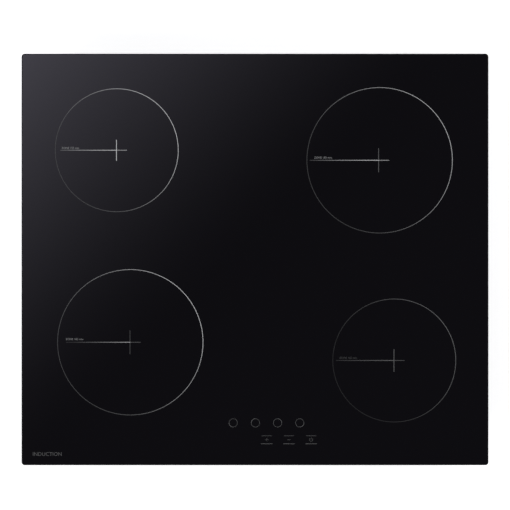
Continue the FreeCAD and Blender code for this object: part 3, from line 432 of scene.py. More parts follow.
def shaded(material: bpy.types.Material, inputs: dict) -> bpy.types.Material:
    """End a material with a Principled shader that has these inputs."""
    shader = node(material.node_tree, "BsdfPrincipled", inputs)
    node(material.node_tree, "OutputMaterial", {"Surface": shader.outputs["BSDF"]})
    return material


class Grain(Enum):
    """How a surface is patterned at close range."""

    MOULDED = "fine even grain of a moulded plastic"
    SPANGLE = "crystal patches of hot-dip zinc"
    ROLLED = "lines left by the rolling mill or a drawing die"
    FOAM = "open pores"
    FIBRE = "matted short fibres"
    SINTERED = "powder grain with small pits"
    STRANDS = "twisted thin strands"
    TRACKS = "copper tracks under a lacquer"


@dataclass(frozen=True)
class Finish:
    """One finish: what the real material is, and how its surface was made.

    Attributes:
        name: the material's common name.
        colour: main colour, sRGB.
        other: second colour that the grain mixes in, sRGB.
        rough: lowest and highest roughness.
        metallic: 1 for bare metal.
        ior: index of refraction.
        grain: the pattern.
        size: real size of one grain.
        depth: height of the relief.
        shine: how much of the usual reflection is left; ground or pitted surfaces swallow some.
        coat: clear lacquer weight.
        stretch: how much longer the grain is along each axis.
    """

    name: str
    colour: str
    other: str
    rough: tuple[float, float]
    grain: Grain
    size: float
    depth: float
    metallic: float = 0.0
    ior: float = 1.5
    shine: float = 0.5
    coat: float = 0.0
    stretch: Point = (1.0, 1.0, 1.0)

    def pattern(self, tree: bpy.types.NodeTree) -> tuple[bpy.types.NodeSocket, bpy.types.NodeSocket]:
        """Build the grain's nodes.

        Args:
            tree: the material's node tree.

        Returns:
            The output that mixes the colours, and the one that gives the relief.
        """
        place = node(tree, "TexCoord").outputs["Object"]
        scale = tuple(1 / factor for factor in self.stretch)
        place = node(tree, "Mapping", {"Vector": place, "Scale": scale}).outputs["Vector"]
        pitch = 1 / self.size
        fine = node(tree, "TexNoise", {"Vector": place, "Scale": pitch, "Detail": 3.0, "Roughness": 0.55})
        broad = node(tree, "TexNoise", {"Vector": place, "Scale": pitch / 12, "Detail": 2.0})
        if self.grain is Grain.SPANGLE:
            # A quarter of a crystal of unevenness makes the crystals' borders ragged.
            ragged = node(tree, "Mix", {0: 0.25 * self.size, 4: place, 5: fine.outputs["Color"]},
                          data_type="VECTOR")
            cells = node(tree, "TexVoronoi", {"Vector": ragged.outputs[1], "Scale": pitch, "Randomness": 1.0})
            crystal = node(tree, "SeparateColor", {"Color": cells.outputs["Color"]}).outputs["Red"]
            mixed = node(tree, "Mix", {0: 0.5, 2: crystal, 3: broad.outputs["Fac"]}).outputs[0]
            return mixed, cells.outputs["Distance"]
        if self.grain in (Grain.FOAM, Grain.SINTERED):
            cells = node(tree, "TexVoronoi", {"Vector": place, "Scale": pitch, "Randomness": 1.0})
            return broad.outputs["Fac"], cells.outputs["Distance"]
        if self.grain is Grain.STRANDS:
            twist = node(tree, "TexWave", {"Vector": place, "Scale": pitch / 3, "Distortion": 2.5},
                         bands_direction="DIAGONAL")
            return twist.outputs["Fac"], twist.outputs["Fac"]
        if self.grain is Grain.TRACKS:
            # Square fields nine tracks wide, each with its tracks along X or along Y.
            fields = node(tree, "TexVoronoi", {"Vector": place, "Scale": pitch / 9}, distance="CHEBYCHEV")
            chance = node(tree, "SeparateColor", {"Color": fields.outputs["Color"]}).outputs["Red"]
            lie = node(tree, "Math", {0: chance, 1: 0.5}, operation="GREATER_THAN").outputs[0]
            runs = [node(tree, "TexWave", {"Vector": place, "Scale": pitch / 3.2}, bands_direction=way)
                    .outputs["Fac"] for way in "XY"]
            run = node(tree, "Mix", {0: lie, 2: runs[0], 3: runs[1]}).outputs[0]
            track = node(tree, "MapRange", {"Value": run, "From Min": 0.55, "From Max": 0.75})
            return track.outputs["Result"], track.outputs["Result"]
        return broad.outputs["Fac"], fine.outputs["Fac"]

    def make(self) -> bpy.types.Material:
        """Build the material.

        Returns:
            A material with colour variation, roughness and relief at the grain's real size.
        """
        material = blank_material(self.name)
        tree = material.node_tree
        mix, relief = self.pattern(tree)
        colour = node(tree, "Mix", {0: mix, 6: linear(self.colour), 7: linear(self.other)}, data_type="RGBA")
        rough = node(tree, "MapRange", {"Value": mix, "To Min": self.rough[0], "To Max": self.rough[1]})
        bump = node(tree, "Bump", {"Height": relief, "Strength": 0.6, "Distance": self.depth})
        return shaded(material, {
            "Base Color": colour.outputs[2], "Roughness": rough.outputs["Result"], "Metallic": self.metallic,
            "IOR": self.ior, "Specular IOR Level": self.shine, "Coat Weight": self.coat,
            "Normal": bump.outputs["Normal"],
        })


# Zinc-dipped sheet: grey patches of slightly different shine, the look of a hob's underside box.
GALVANISED = Finish("galvanised_steel_sheet", "#A1A5A8", "#AEB2B5", (0.36, 0.44), Grain.SPANGLE, 5 * MM,
                    0.012 * MM, metallic=1.0)
# Zinc-plated strip and screws: brighter and smoother than dipped sheet.
ZINC_PLATE = Finish("zinc_plated_steel", "#A9ABAD", "#BFC0BE", (0.22, 0.36), Grain.ROLLED, 0.5 * MM,
                    0.01 * MM, metallic=1.0, stretch=(1, 6, 1))
# Drawn music wire: bright, with fine lines along it.
SPRING_STEEL = Finish("spring_steel_wire", "#8F9294", "#A6A8A8", (0.18, 0.30), Grain.ROLLED, 0.2 * MM,
                      0.005 * MM, metallic=1.0)
# Mill-finish aluminium sheet: pale, faintly brushed from rolling.
ROLLED_ALUMINIUM = Finish("rolled_aluminium_sheet", "#B9BBBD", "#C3C5C6", (0.30, 0.40), Grain.ROLLED,
                          0.25 * MM, 0.01 * MM, metallic=1.0, stretch=(14, 1, 1))
# Extruded aluminium: grey fins with fine die lines along their length.
EXTRUDED_ALUMINIUM = Finish("extruded_aluminium", "#AEB1B4", "#BEC0C2", (0.30, 0.42), Grain.ROLLED,
                            0.5 * MM, 0.01 * MM, metallic=1.0, stretch=(1, 20, 1))
# Powder-coated steel: satin black with a light orange peel.
POWDER_COAT = Finish("black_powder_coat", "#141416", "#1A1A1C", (0.42, 0.55), Grain.MOULDED, 0.6 * MM,
                     0.03 * MM)
# Glass-filled polyamide: dull black with a fine spark-eroded texture.
POLYAMIDE = Finish("black_polyamide", "#17181A", "#1F2022", (0.48, 0.62), Grain.MOULDED, 0.35 * MM,
                   0.03 * MM)
# The same in natural white, for the terminal block and the plug sockets: a warm, dull white.
WHITE_POLYAMIDE = Finish("white_polyamide", "#D8D6CE", "#E2E0D9", (0.40, 0.52), Grain.MOULDED, 0.35 * MM,
                         0.02 * MM)
# Heat-resistant moulding of the coil carriers: dark grey with pale glass fibres at the surface.
CARRIER_PLASTIC = Finish("glass_filled_polyester", "#2B2C2E", "#3A3B3D", (0.45, 0.6), Grain.MOULDED,
                         0.4 * MM, 0.03 * MM)
# ABS of the fan: smooth and a little shinier.
FAN_ABS = Finish("moulded_abs", "#1B1C1E", "#222326", (0.35, 0.46), Grain.MOULDED, 0.3 * MM, 0.015 * MM)
# Closed-cell foam strip: matt, dark grey, full of small pores.
FOAM_RUBBER = Finish("foam_rubber_strip", "#232325", "#2E2E30", (0.85, 0.95), Grain.FOAM, 0.5 * MM,
                     0.12 * MM)
# Cured silicone: black, slightly glossy, softly uneven.
SILICONE = Finish("black_silicone", "#101012", "#151517", (0.30, 0.45), Grain.MOULDED, 3 * MM, 0.1 * MM)
# Moulded rubber of the cable grommet: dull and almost even.
RUBBER = Finish("moulded_rubber", "#19191A", "#222223", (0.6, 0.72), Grain.MOULDED, 0.5 * MM, 0.03 * MM)
# Varnished copper bundle: orange brown with the twist of its strands.
LITZ = Finish("varnished_litz_copper", "#8A4B28", "#B87445", (0.28, 0.42), Grain.STRANDS, 1.1 * MM,
              0.08 * MM, metallic=1.0)
# Enamelled round copper wire: brighter than litz, with the gloss of its varnish.
ENAMELLED_COPPER = Finish("enamelled_copper_wire", "#93451F", "#B05F30", (0.18, 0.28), Grain.ROLLED,
                          0.4 * MM, 0.01 * MM, metallic=1.0, coat=0.4)
# Pressed and sintered ferrite: dark slate with pits.
FERRITE = Finish("sintered_ferrite", "#26272A", "#303135", (0.55, 0.7), Grain.SINTERED, 0.5 * MM, 0.04 * MM)
# Fibre disc that keeps the coil's heat and the pan's apart: chalk white and matted.
FIBRE_FELT = Finish("ceramic_fibre_paper", "#CFCABD", "#DEDACF", (0.85, 0.95), Grain.FIBRE, 0.35 * MM,
                    0.1 * MM, stretch=(3, 1, 1))
# Fired alumina cap of the sensor: off-white, smooth, with a few pores.
ALUMINA = Finish("alumina_ceramic", "#D9D6CE", "#E3E1DA", (0.3, 0.4), Grain.SINTERED, 0.3 * MM, 0.01 * MM)
# Laminate under green lacquer: the tracks show as paler, slightly raised lines.
SOLDER_MASK = Finish("green_circuit_laminate", "#0E4429", "#19603A", (0.25, 0.35), Grain.TRACKS, 1.6 * MM,
                     0.03 * MM, coat=0.3)
# The touch board is lacquered black, so that nothing of it shows through the glass.
BLACK_MASK = Finish("black_circuit_laminate", "#101113", "#191B1E", (0.3, 0.4), Grain.TRACKS, 1.6 * MM,
                    0.03 * MM, coat=0.3)
# Transfer-moulded epoxy packages: dark grey with a fine even texture.
EPOXY = Finish("moulded_epoxy", "#1A1A1B", "#232324", (0.45, 0.55), Grain.MOULDED, 0.2 * MM, 0.015 * MM)
# Polypropylene box of a film capacitor: light grey with a soft gloss.
CAPACITOR_BOX = Finish("polypropylene_box", "#8A8D8F", "#97999B", (0.35, 0.45), Grain.MOULDED, 0.3 * MM,
                       0.01 * MM)
# Smoked epoxy face of a digit display: near black and glossy.
SMOKED_EPOXY = Finish("smoked_epoxy", "#1A1213", "#201618", (0.2, 0.28), Grain.MOULDED, 0.3 * MM,
                      0.005 * MM)
# Flat grey cable: a rib for each conductor.
RIBBON_VINYL = Finish("grey_ribbon_vinyl", "#7D8083", "#8E9194", (0.45, 0.55), Grain.ROLLED, 1.3 * MM,
                      0.15 * MM, stretch=(1, 30, 30))
# Tin-plated contacts and pins: a pale, slightly yellow metal.
TINNED = Finish("tinned_brass", "#B6B3A8", "#C4C2B8", (0.25, 0.35), Grain.ROLLED, 0.3 * MM, 0.01 * MM,
                metallic=1.0)


@dataclass(frozen=True)
class GlassCeramic:
    """Black glass-ceramic: deep gloss with a faint ripple, and almost no colour of its own."""

    name: str = "black_glass_ceramic"
    colour: str = "#070609"
    rough: tuple[float, float] = (0.035, 0.06)
    ripple: float = 40 * MM

    def make(self) -> bpy.types.Material:
        """Build the material."""
        material = blank_material(self.name)
        tree = material.node_tree
        place = node(tree, "TexCoord").outputs["Object"]
        cloud = node(tree, "TexNoise", {"Vector": place, "Scale": 1 / self.ripple, "Detail": 2.0})
        rough = node(tree, "MapRange", {"Value": cloud.outputs["Fac"], "To Min": self.rough[0],
                                        "To Max": self.rough[1]})
        bump = node(tree, "Bump", {"Height": cloud.outputs["Fac"], "Strength": 0.05, "Distance": 0.02 * MM})
        return shaded(material, {
            "Base Color": linear(self.colour), "Roughness": rough.outputs["Result"], "IOR": 1.53,
            "Normal": bump.outputs["Normal"],
        })


# The plate's diamond-ground and polished rim: a satin dark line round the glass.
GROUND_EDGE = Finish("ground_glass_edge", "#08080A", "#0E0E10", (0.45, 0.6), Grain.MOULDED, 0.3 * MM,
                     0.01 * MM, ior=1.53, shine=0.15)


@dataclass(frozen=True)
class FiredInk:
    """Ceramic ink fired onto the glass: a matt grey print whose strength, and on the zone rings a painted
    sheen, is in the piece's tone attribute.
    """

    name: str = "fired_ceramic_ink"
    dark: str = "#0C0B0E"
    pale: str = "#DEDFE0"

    def make(self) -> bpy.types.Material:
        """Build the material."""
        material = blank_material(self.name)
        tree = material.node_tree
        tone = node(tree, "Attribute", attribute_name="tone").outputs["Fac"]
        place = node(tree, "TexCoord").outputs["Object"]
        screen = node(tree, "TexNoise", {"Vector": place, "Scale": 1 / (0.4 * MM), "Detail": 2.0})
        speck = node(tree, "MapRange", {"Value": screen.outputs["Fac"], "To Min": 0.85, "To Max": 1.0})
        strength = node(tree, "Math", {0: tone, 1: speck.outputs["Result"]}, operation="MULTIPLY")
        colour = node(tree, "Mix", {0: strength.outputs["Value"], 6: linear(self.dark), 7: linear(self.pale)},
                      data_type="RGBA")
        bump = node(tree, "Bump", {"Height": screen.outputs["Fac"], "Strength": 0.2, "Distance": 0.005 * MM})
        return shaded(material, {
            "Base Color": colour.outputs[2], "Roughness": 0.45, "Normal": bump.outputs["Normal"],
        })


AnyFinish = Finish | GlassCeramic | FiredInk

# The finish of every material slot that the record names.
FINISH_OF_SLOT = {
    "foam_seal": FOAM_RUBBER, "silicone": SILICONE, "frame_steel": POWDER_COAT,
    "galvanised_steel": GALVANISED, "aluminium_sheet": ROLLED_ALUMINIUM,
    "extruded_aluminium": EXTRUDED_ALUMINIUM, "black_plastic": POLYAMIDE,
    "white_plastic": WHITE_POLYAMIDE, "fan_plastic": FAN_ABS, "impeller_plastic": FAN_ABS,
    "carrier_plastic": CARRIER_PLASTIC, "motor": ZINC_PLATE, "circuit_board": SOLDER_MASK,
    "touch_circuit": BLACK_MASK, "epoxy_package": EPOXY, "capacitor_film": CAPACITOR_BOX,
    "enamelled_copper": ENAMELLED_COPPER, "litz_copper": LITZ, "ferrite": FERRITE,
    "insulation_felt": FIBRE_FELT, "sensor_ceramic": ALUMINA, "spring_steel": SPRING_STEEL,
    "display_epoxy": SMOKED_EPOXY, "ribbon_vinyl": RIBBON_VINYL, "grommet_rubber": RUBBER,
    "zinc_screw": ZINC_PLATE, "clamp_steel": ZINC_PLATE, "ceramic_glass": GROUND_EDGE,
}


class Paintshop:
    """Makes each finish once and puts it on pieces."""

    def __init__(self) -> None:
        """Start with no material made."""
        self.made: dict[str, bpy.types.Material] = {}

    def material(self, finish: AnyFinish) -> bpy.types.Material:
        """The material of a finish, made on first use."""
        if finish.name not in self.made:
            self.made[finish.name] = finish.make()
        return self.made[finish.name]

    def dress_nodes(self) -> None:
        """Put each CAD node's own finish into its material slots."""
        for part in frame["record"]["subparts"]:
            finish = FINISH_OF_SLOT[part["material_slot"]]
            for place in frame["nodes"][part["node"]].material_slots:
                place.material = self.material(finish)

    def hand_over(self, piece: bpy.types.Object, finish: AnyFinish, body: str = "root") -> None:
        """Paint a new piece and hang it on its body.

        Args:
            piece: the finished piece.
            finish: what it is made of.
            body: the CAD body it moves with.
        """
        if not piece.data.materials:
            piece.data.materials.append(self.material(finish))
        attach(piece, body)
        LOG.info("%s on %s", piece.name, body)


SHOP = Paintshop()


# ---- the glass and its prints ----

ZONES = ("rear_left", "front_left", "rear_right", "front_right")
CORNERS = ("front_left", "rear_left", "front_right", "rear_right")


@dataclass
class GlassPlate:
    """The glass-ceramic plate with its ground rim.

    Attributes:
        corner: radius of the corners.
        rim: radius of the ground edge.
        ink: how far the plate lies under the top of the prints.
        level: a face whose normal's height is over this is the top or the underside.
    """

    corner: float = 4 * MM
    rim: float = 1.2 * MM
    ink: float = 0.02 * MM
    level: float = 0.999

    def is_border(self, edge: bmesh.types.BMEdge, level: float) -> bool:
        """Whether one side of the edge is flat on top or underneath, and the other isn't."""
        return len({abs(face.normal.z) > level for face in edge.link_faces}) == 2

    def build(self) -> None:
        """Shape the plate and put the ground finish on its rim."""
        low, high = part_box("glass_top")
        high = high - Vector((0, 0, self.ink))
        plate = block("glass_plate", low, high)
        with editing(plate, "EDGE"):
            pick(plate, "edges", lambda edge: abs(edge.verts[0].co.z - edge.verts[1].co.z) > 1 * MM)
            bpy.ops.mesh.bevel(offset=self.corner, segments=8, affect="EDGES")
            bpy.ops.mesh.select_all(action="DESELECT")
            pick(plate, "edges", lambda edge: self.is_border(edge, 0.9))
            bpy.ops.mesh.bevel(offset=self.rim, segments=4, affect="EDGES")
        shade(plate, 30)
        with editing(plate, "EDGE"):
            pick(plate, "edges", lambda edge: self.is_border(edge, self.level))
            bpy.ops.mesh.mark_sharp()
        plate.data.materials.append(SHOP.material(GlassCeramic()))
        plate.data.materials.append(SHOP.material(GROUND_EDGE))
        for face in plate.data.polygons:
            face.material_index = 0 if abs(face.normal.z) > self.level else 1
        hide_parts("glass_top")
        SHOP.hand_over(plate, GlassCeramic())


class Ring(Enum):
    """Which quarter of a key's ring is drawn thick, by the angle where that quarter starts."""

    FRONT_LEFT = 180
    REAR_LEFT = 90
    REAR_RIGHT = 0
    FRONT_RIGHT = 270


@dataclass(frozen=True)
class ZonePrint:
    """How one zone's ring, cross and lettering are printed. Strengths run from 0 to 1.

    Attributes:
        ring: strength of the ring where it is strongest.
        upright: strength of the cross's upright.
        rule: strength of the long arm at the crossing.
        end: share of that strength left at the long arm's end.
        fade: how quickly the long arm fades; 1 is evenly.
        stub: strength of the short arm.
        word: strength of the lettering.
        margin: gap between the coil carrier's edge and the ring.
        shift: how far the cross lies left of the ring's middle.
        tall: half the upright's length.
        long: length of the long arm.
        start: how far left of the crossing the lettering starts.
        lift: how far the lettering stands above the long arm's middle.
    """

    ring: float
    upright: float
    rule: float
    end: float
    fade: float
    stub: float
    word: float
    margin: float
    shift: float
    tall: float
    long: float
    start: float
    lift: float


ZONE_PRINTS = {
    "rear_left": ZonePrint(
        ring=1.0, upright=1.0, rule=1.0, end=0.15, fade=1.0, stub=0.55, word=0.42, margin=2.65 * MM,
        shift=0.35 * MM, tall=13.3 * MM, long=70.8 * MM, start=69.3 * MM, lift=1.7 * MM),
    "front_left": ZonePrint(
        ring=0.9, upright=0.07, rule=0.64, end=0.03, fade=1.75, stub=0.11, word=0.34, margin=1.83 * MM,
        shift=0.38 * MM, tall=15 * MM, long=81 * MM, start=81.2 * MM, lift=2.7 * MM),
    "rear_right": ZonePrint(
        ring=0.82, upright=0.16, rule=0.95, end=0.06, fade=1.1, stub=0.52, word=0.4, margin=1.85 * MM,
        shift=1.3 * MM, tall=15 * MM, long=87 * MM, start=81.3 * MM, lift=2.2 * MM),
    "front_right": ZonePrint(
        ring=0.22, upright=0.18, rule=0.22, end=0.09, fade=0.9, stub=0.11, word=0.085, margin=2.65 * MM,
        shift=0.4 * MM, tall=14.3 * MM, long=73.4 * MM, start=69 * MM, lift=2.1 * MM),
}


@dataclass
class Prints:
    """The grey prints on the glass: a ring and a cross for each zone, and the touch keys.

    Attributes:
        ink: thickness of the fired ink.
        line: width of the zone lines.
        fine: width of the key lines.
        bold: width of a key ring's thick quarter.
        key: radius of a key's ring.
        stroke: width of the crosses' bars.
        stub: length of a cross's short arm.
        type_size: size of the zones' lettering.
        dim: lowest strength of a ring's painted sheen, as a share of its highest.
        lean: where the painted sheen on a ring is brightest, in degrees from its right.
        under: half length, lower and upper edge of the bar below a lower key.
        over: the same for the bar above it.
        sign: half length of a plus or minus and radius of the power sign.
        key_tone: strength of the keys.
        word_size: size of the word at the plate's front left corner.
        word_place: its place from that corner.
        word_tone: its strength.
    """

    ink: float = 0.02 * MM
    line: float = 0.7 * MM
    fine: float = 0.36 * MM
    bold: float = 0.62 * MM
    key: float = 5.25 * MM
    stroke: float = 0.82 * MM
    stub: float = 13.3 * MM
    type_size: float = 3.5 * MM
    dim: float = 0.09
    lean: float = 30
    under: Point = (7.3 * MM, -5.4 * MM, -4.8 * MM)
    over: Point = (6.3 * MM, 4.8 * MM, 5.2 * MM)
    sign: float = 2 * MM
    key_tone: float = 0.17
    word_size: float = 6.6 * MM
    word_place: Spot = (14 * MM, 12 * MM)
    word_tone: float = 0.12

    @property
    def height(self) -> float:
        """Middle of the ink's thickness."""
        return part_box("glass_top")[1].z - self.ink / 2

    def raise_ink(self, piece: bpy.types.Object) -> bpy.types.Object:
        """Give a flat print the thickness of fired ink."""
        use_modifier(piece, "SOLIDIFY", thickness=self.ink, offset=0)
        face_outwards(piece)
        return piece

    def band(self, name: str, centre: Spot, radius: float, width: float, start: float = 0,
             sweep: float = 360, steps: int = 160) -> bpy.types.Object:
        """Print a ring or an arc.

        Args:
            name: name of the piece.
            centre: middle of the ring.
            radius: radius of the line's middle.
            width: width of the line.
            start: angle where it starts, in degrees.
            sweep: how far it goes round, in degrees.
            steps: how many chords it has.

        Returns:
            The print.
        """
        line = [(radius - width / 2, 0), (radius + width / 2, 0)]
        piece = self.raise_ink(spun(name, line, steps, math.radians(sweep), (0, 0, -1)))
        turn = Matrix.Rotation(math.radians(start), 4, "Z")
        piece.data.transform(Matrix.Translation((*centre, self.height)) @ turn)
        return piece

    def bar(self, name: str, low: Spot, high: Spot, steps: int = 1) -> bpy.types.Object:
        """Print a straight bar.

        Args:
            name: name of the piece.
            low: its lower left corner.
            high: its upper right corner.
            steps: how many lengths it is divided into.

        Returns:
            The print.
        """
        middle = ((low[0] + high[0]) / 2, (low[1] + high[1]) / 2, self.height)
        scale = (high[0] - low[0], high[1] - low[1], 1)
        piece = add(Primitive.GRID, name, middle, scale, size=1, x_subdivisions=steps, y_subdivisions=1)
        return self.raise_ink(piece)

    def words(self, name: str, text: str, place: Spot, size: float) -> bpy.types.Object:
        """Print a generic word or number.

        Args:
            name: name of the piece.
            text: what it says.
            place: lower left corner.
            size: type size.

        Returns:
            The print.
        """
        deselect()
        bpy.ops.object.text_add()
        piece = bpy.context.object
        piece.data.body = text
        piece.data.size = size
        piece.data.resolution_u = 3
        bpy.ops.object.convert(target="MESH")
        piece = bpy.context.object
        piece.name = piece.data.name = name
        with editing(piece, "VERT"):
            merge_corners()
        self.raise_ink(piece)
        piece.data.transform(Matrix.Translation((*place, self.height)))
        return piece

    def tone(self, piece: bpy.types.Object, rule: Callable[[Vector], float]) -> None:
        """Set how strong the print is at each point.

        Args:
            piece: the print.
            rule: gives the strength at a place.
        """
        strengths = piece.data.attributes.new("tone", "FLOAT", "POINT")
        for vertex, item in zip(piece.data.vertices, strengths.data):
            item.value = rule(vertex.co)

    def zone(self, name: str) -> None:
        """Print one zone's ring, cross and diameter.

        Args:
            name: which zone.
        """
        low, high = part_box(f"{name}_coil_carrier")
        middle = middle_of(low, high)
        x, y = middle.x, middle.y
        plan = ZONE_PRINTS[name]
        radius = (high.x - low.x) / 2 + plan.margin

        def ring_sheen_tone(spot: Vector) -> float:
            """Painted sheen: the ring is paler towards its right, as if lit there, and fades darker round to
            its left.
            """
            angle = math.atan2(spot.y - y, spot.x - x) - math.radians(self.lean)
            return plan.ring * (self.dim + (1 - self.dim) * ((1 + math.cos(angle)) / 2) ** 2)

        ring = self.band(f"{name}_zone_ring", (x, y), radius, self.line)
        self.tone(ring, ring_sheen_tone)
        SHOP.hand_over(ring, FiredInk())

        x -= plan.shift
        half = self.stroke / 2

        def rule_tone(spot: Vector) -> float:
            """The long arm fades from the crossing to its end."""
            left = min(1.0, max(0.0, 1 - (x - half - spot.x) / (plan.long - half)))
            return plan.rule * (plan.end + (1 - plan.end) * left ** plan.fade)

        upper = self.bar("upright", (x - half, y + half), (x + half, y + plan.tall))
        lower = self.bar("upright", (x - half, y - plan.tall), (x + half, y - half))
        rule = self.bar("rule", (x - plan.long, y - half), (x + half, y + half), 32)
        stub = self.bar("stub", (x + half, y - half), (x + self.stub, y + half))
        across = round(radius * 2 / MM / 5) * 5
        word = self.words("diameter", f"ZONE {across} mm", (x - plan.start, y + plan.lift), self.type_size)
        for piece, strength in ((upper, plan.upright), (lower, plan.upright), (stub, plan.stub),
                                (word, plan.word)):
            self.tone(piece, lambda spot, strength=strength: strength)
        self.tone(rule, rule_tone)
        cross = joined(f"{name}_zone_cross", [rule, upper, lower, stub, word])
        SHOP.hand_over(cross, FiredInk())

    def keys(self) -> None:
        """Print the touch keys over their springs: four zone keys behind, minus, plus and power before."""
        spots = [middle_of(low, high) for low, high in solids("touch_springs")]
        back = max(spot.y for spot in spots)
        upper = sorted((spot for spot in spots if spot.y > back - 5 * MM), key=lambda spot: spot.x)
        lower = sorted((spot for spot in spots if spot.y <= back - 5 * MM), key=lambda spot: spot.x)
        pieces = []
        for spot, ring in zip(upper, (Ring.FRONT_LEFT, Ring.REAR_LEFT, Ring.REAR_RIGHT, Ring.FRONT_RIGHT)):
            centre = (spot.x, spot.y)
            pieces.append(self.band("thick", centre, self.key, self.bold, ring.value, 90, 16))
            pieces.append(self.band("thin", centre, self.key, self.fine, ring.value + 90, 270, 40))
        for spot, symbol in zip(lower, (self.plus, self.minus, self.power)):
            for half, low, high in (self.under, self.over):
                pieces.append(self.bar("rule", (spot.x - half, spot.y + low), (spot.x + half, spot.y + high)))
            pieces.extend(symbol(spot.x, spot.y))
        print_of_keys = joined("touch_key_prints", pieces)
        self.tone(print_of_keys, lambda spot: self.key_tone)
        SHOP.hand_over(print_of_keys, FiredInk())

    def plus(self, x: float, y: float) -> list[bpy.types.Object]:
        """A plus sign."""
        half, long = self.fine / 2, self.sign
        return [self.bar("plus", (x - long, y - half), (x + long, y + half)),
                self.bar("plus", (x - half, y + half), (x + half, y + long)),
                self.bar("plus", (x - half, y - long), (x + half, y - half))]

    def minus(self, x: float, y: float) -> list[bpy.types.Object]:
        """A minus sign."""
        half = self.fine / 2
        return [self.bar("minus", (x - self.sign, y - half), (x + self.sign, y + half))]

    def power(self, x: float, y: float) -> list[bpy.types.Object]:
        """The usual sign for switching on: an open ring with a stroke."""
        half = self.fine / 2
        return [self.band("power", (x, y), self.sign, self.fine, 120, 300, 32),
                self.bar("power", (x - half, y + 0.3 * self.sign), (x + half, y + 1.3 * self.sign))]

    def build(self) -> None:
        """Print everything."""
        for name in ZONES:
            self.zone(name)
        self.keys()
        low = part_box("glass_top")[0]
        place = (low.x + self.word_place[0], low.y + self.word_place[1])
        word = self.words("plate_word", "INDUCTION", place, self.word_size)
        self.tone(word, lambda spot: self.word_tone)
        SHOP.hand_over(word, FiredInk())


# ---- screws, springs, windings and small parts ----


def carve(piece: bpy.types.Object, low: Point, high: Point) -> None:
    """Cut a box-shaped recess into a piece.

    Args:
        piece: what is cut.
        low: the box's lowest corner.
        high: its highest corner.
    """
    cutter = block("cutter", low, high)
    use_modifier(piece, "BOOLEAN", object=cutter, operation="DIFFERENCE", solver="EXACT")
    bpy.data.objects.remove(cutter)


def bore_radius(name: str) -> float:
    """How near a CAD node's round hole comes to its middle axis."""
    middle = middle_of(*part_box(name))
    return min(math.hypot(vertex.co.x - middle.x, vertex.co.y - middle.y)
               for vertex in frame["nodes"][name].data.vertices)


class Head(Enum):
    """How a screw's head is shaped."""

    PAN = "domed"
    CHEESE = "flat with a rounded edge"


class Drive(Enum):
    """What turns a screw."""

    CROSS = "cross recess"
    SLOT = "straight slot"


@dataclass
class Screw:
    """A screw with a threaded shank. Its head's seat is at height 0 and the head stands above it.

    Attributes:
        name: name of the piece.
        shank: radius over the thread.
        length: how far the shank goes below the seat.
        head: radius of the head.
        tall: height of the head.
        pitch: distance between two threads.
        shape: the head's shape.
        drive: what turns it.
    """

    name: str
    shank: float
    length: float
    head: float
    tall: float
    pitch: float = 1 * MM
    shape: Head = Head.PAN
    drive: Drive = Drive.CROSS

    def profile(self) -> list[Spot]:
        """The section from the tip to the top of the head."""
        root = self.shank * 0.8
        count = int((self.length - self.pitch) / self.pitch)
        points = [(0, -self.length), (root, -self.length)]
        for turn in range(count):
            foot = -self.length + (turn + 0.4) * self.pitch
            points += [(self.shank, foot + 0.5 * self.pitch), (root, foot + self.pitch)]
        points += [(self.shank, -0.1 * self.pitch), (self.shank, 0), (self.head, 0)]
        if self.shape is Head.PAN:
            low = 0.25 * self.tall
            points += [(self.head * math.cos(turn), low + (self.tall - low) * math.sin(turn))
                       for turn in (math.radians(degrees) for degrees in range(0, 90, 15))]
        else:
            edge = 0.12 * self.head
            points += [(self.head, self.tall - edge), (self.head - 0.3 * edge, self.tall - 0.3 * edge),
                       (self.head - edge, self.tall)]
        return points + [(0, self.tall)]

    def build(self) -> bpy.types.Object:
        """Turn the screw and cut its drive into the head.

        Returns:
            The screw, at the origin, with its head upwards.
        """
        screw = turned(self.name, self.profile(), (0, 0, 0), 24)
        reach, half, deep = self.head * 0.62, self.head * 0.1, self.tall * 0.6
        top = self.tall * 1.2
        if self.drive is Drive.SLOT:
            reach = self.head * 1.1
        carve(screw, (-reach, -half, self.tall - deep), (reach, half, top))
        if self.drive is Drive.CROSS:
            carve(screw, (-half, -reach, self.tall - deep), (half, reach, top))
        shade(screw)
        return screw

    def driven(self, name: str, places: Sequence[tuple[Point, Point]]) -> bpy.types.Object:
        """Drive a screw at each place.

        Args:
            name: name of the piece that they make up.
            places: for each screw, where its seat is and which way its head points.

        Returns:
            The screws as one piece.
        """
        model = self.build()
        made = [copy_at(model, self.name, Matrix.Translation(seat) @ pointing(way)) for seat, way in places]
        bpy.data.objects.remove(model)
        return joined(name, made)


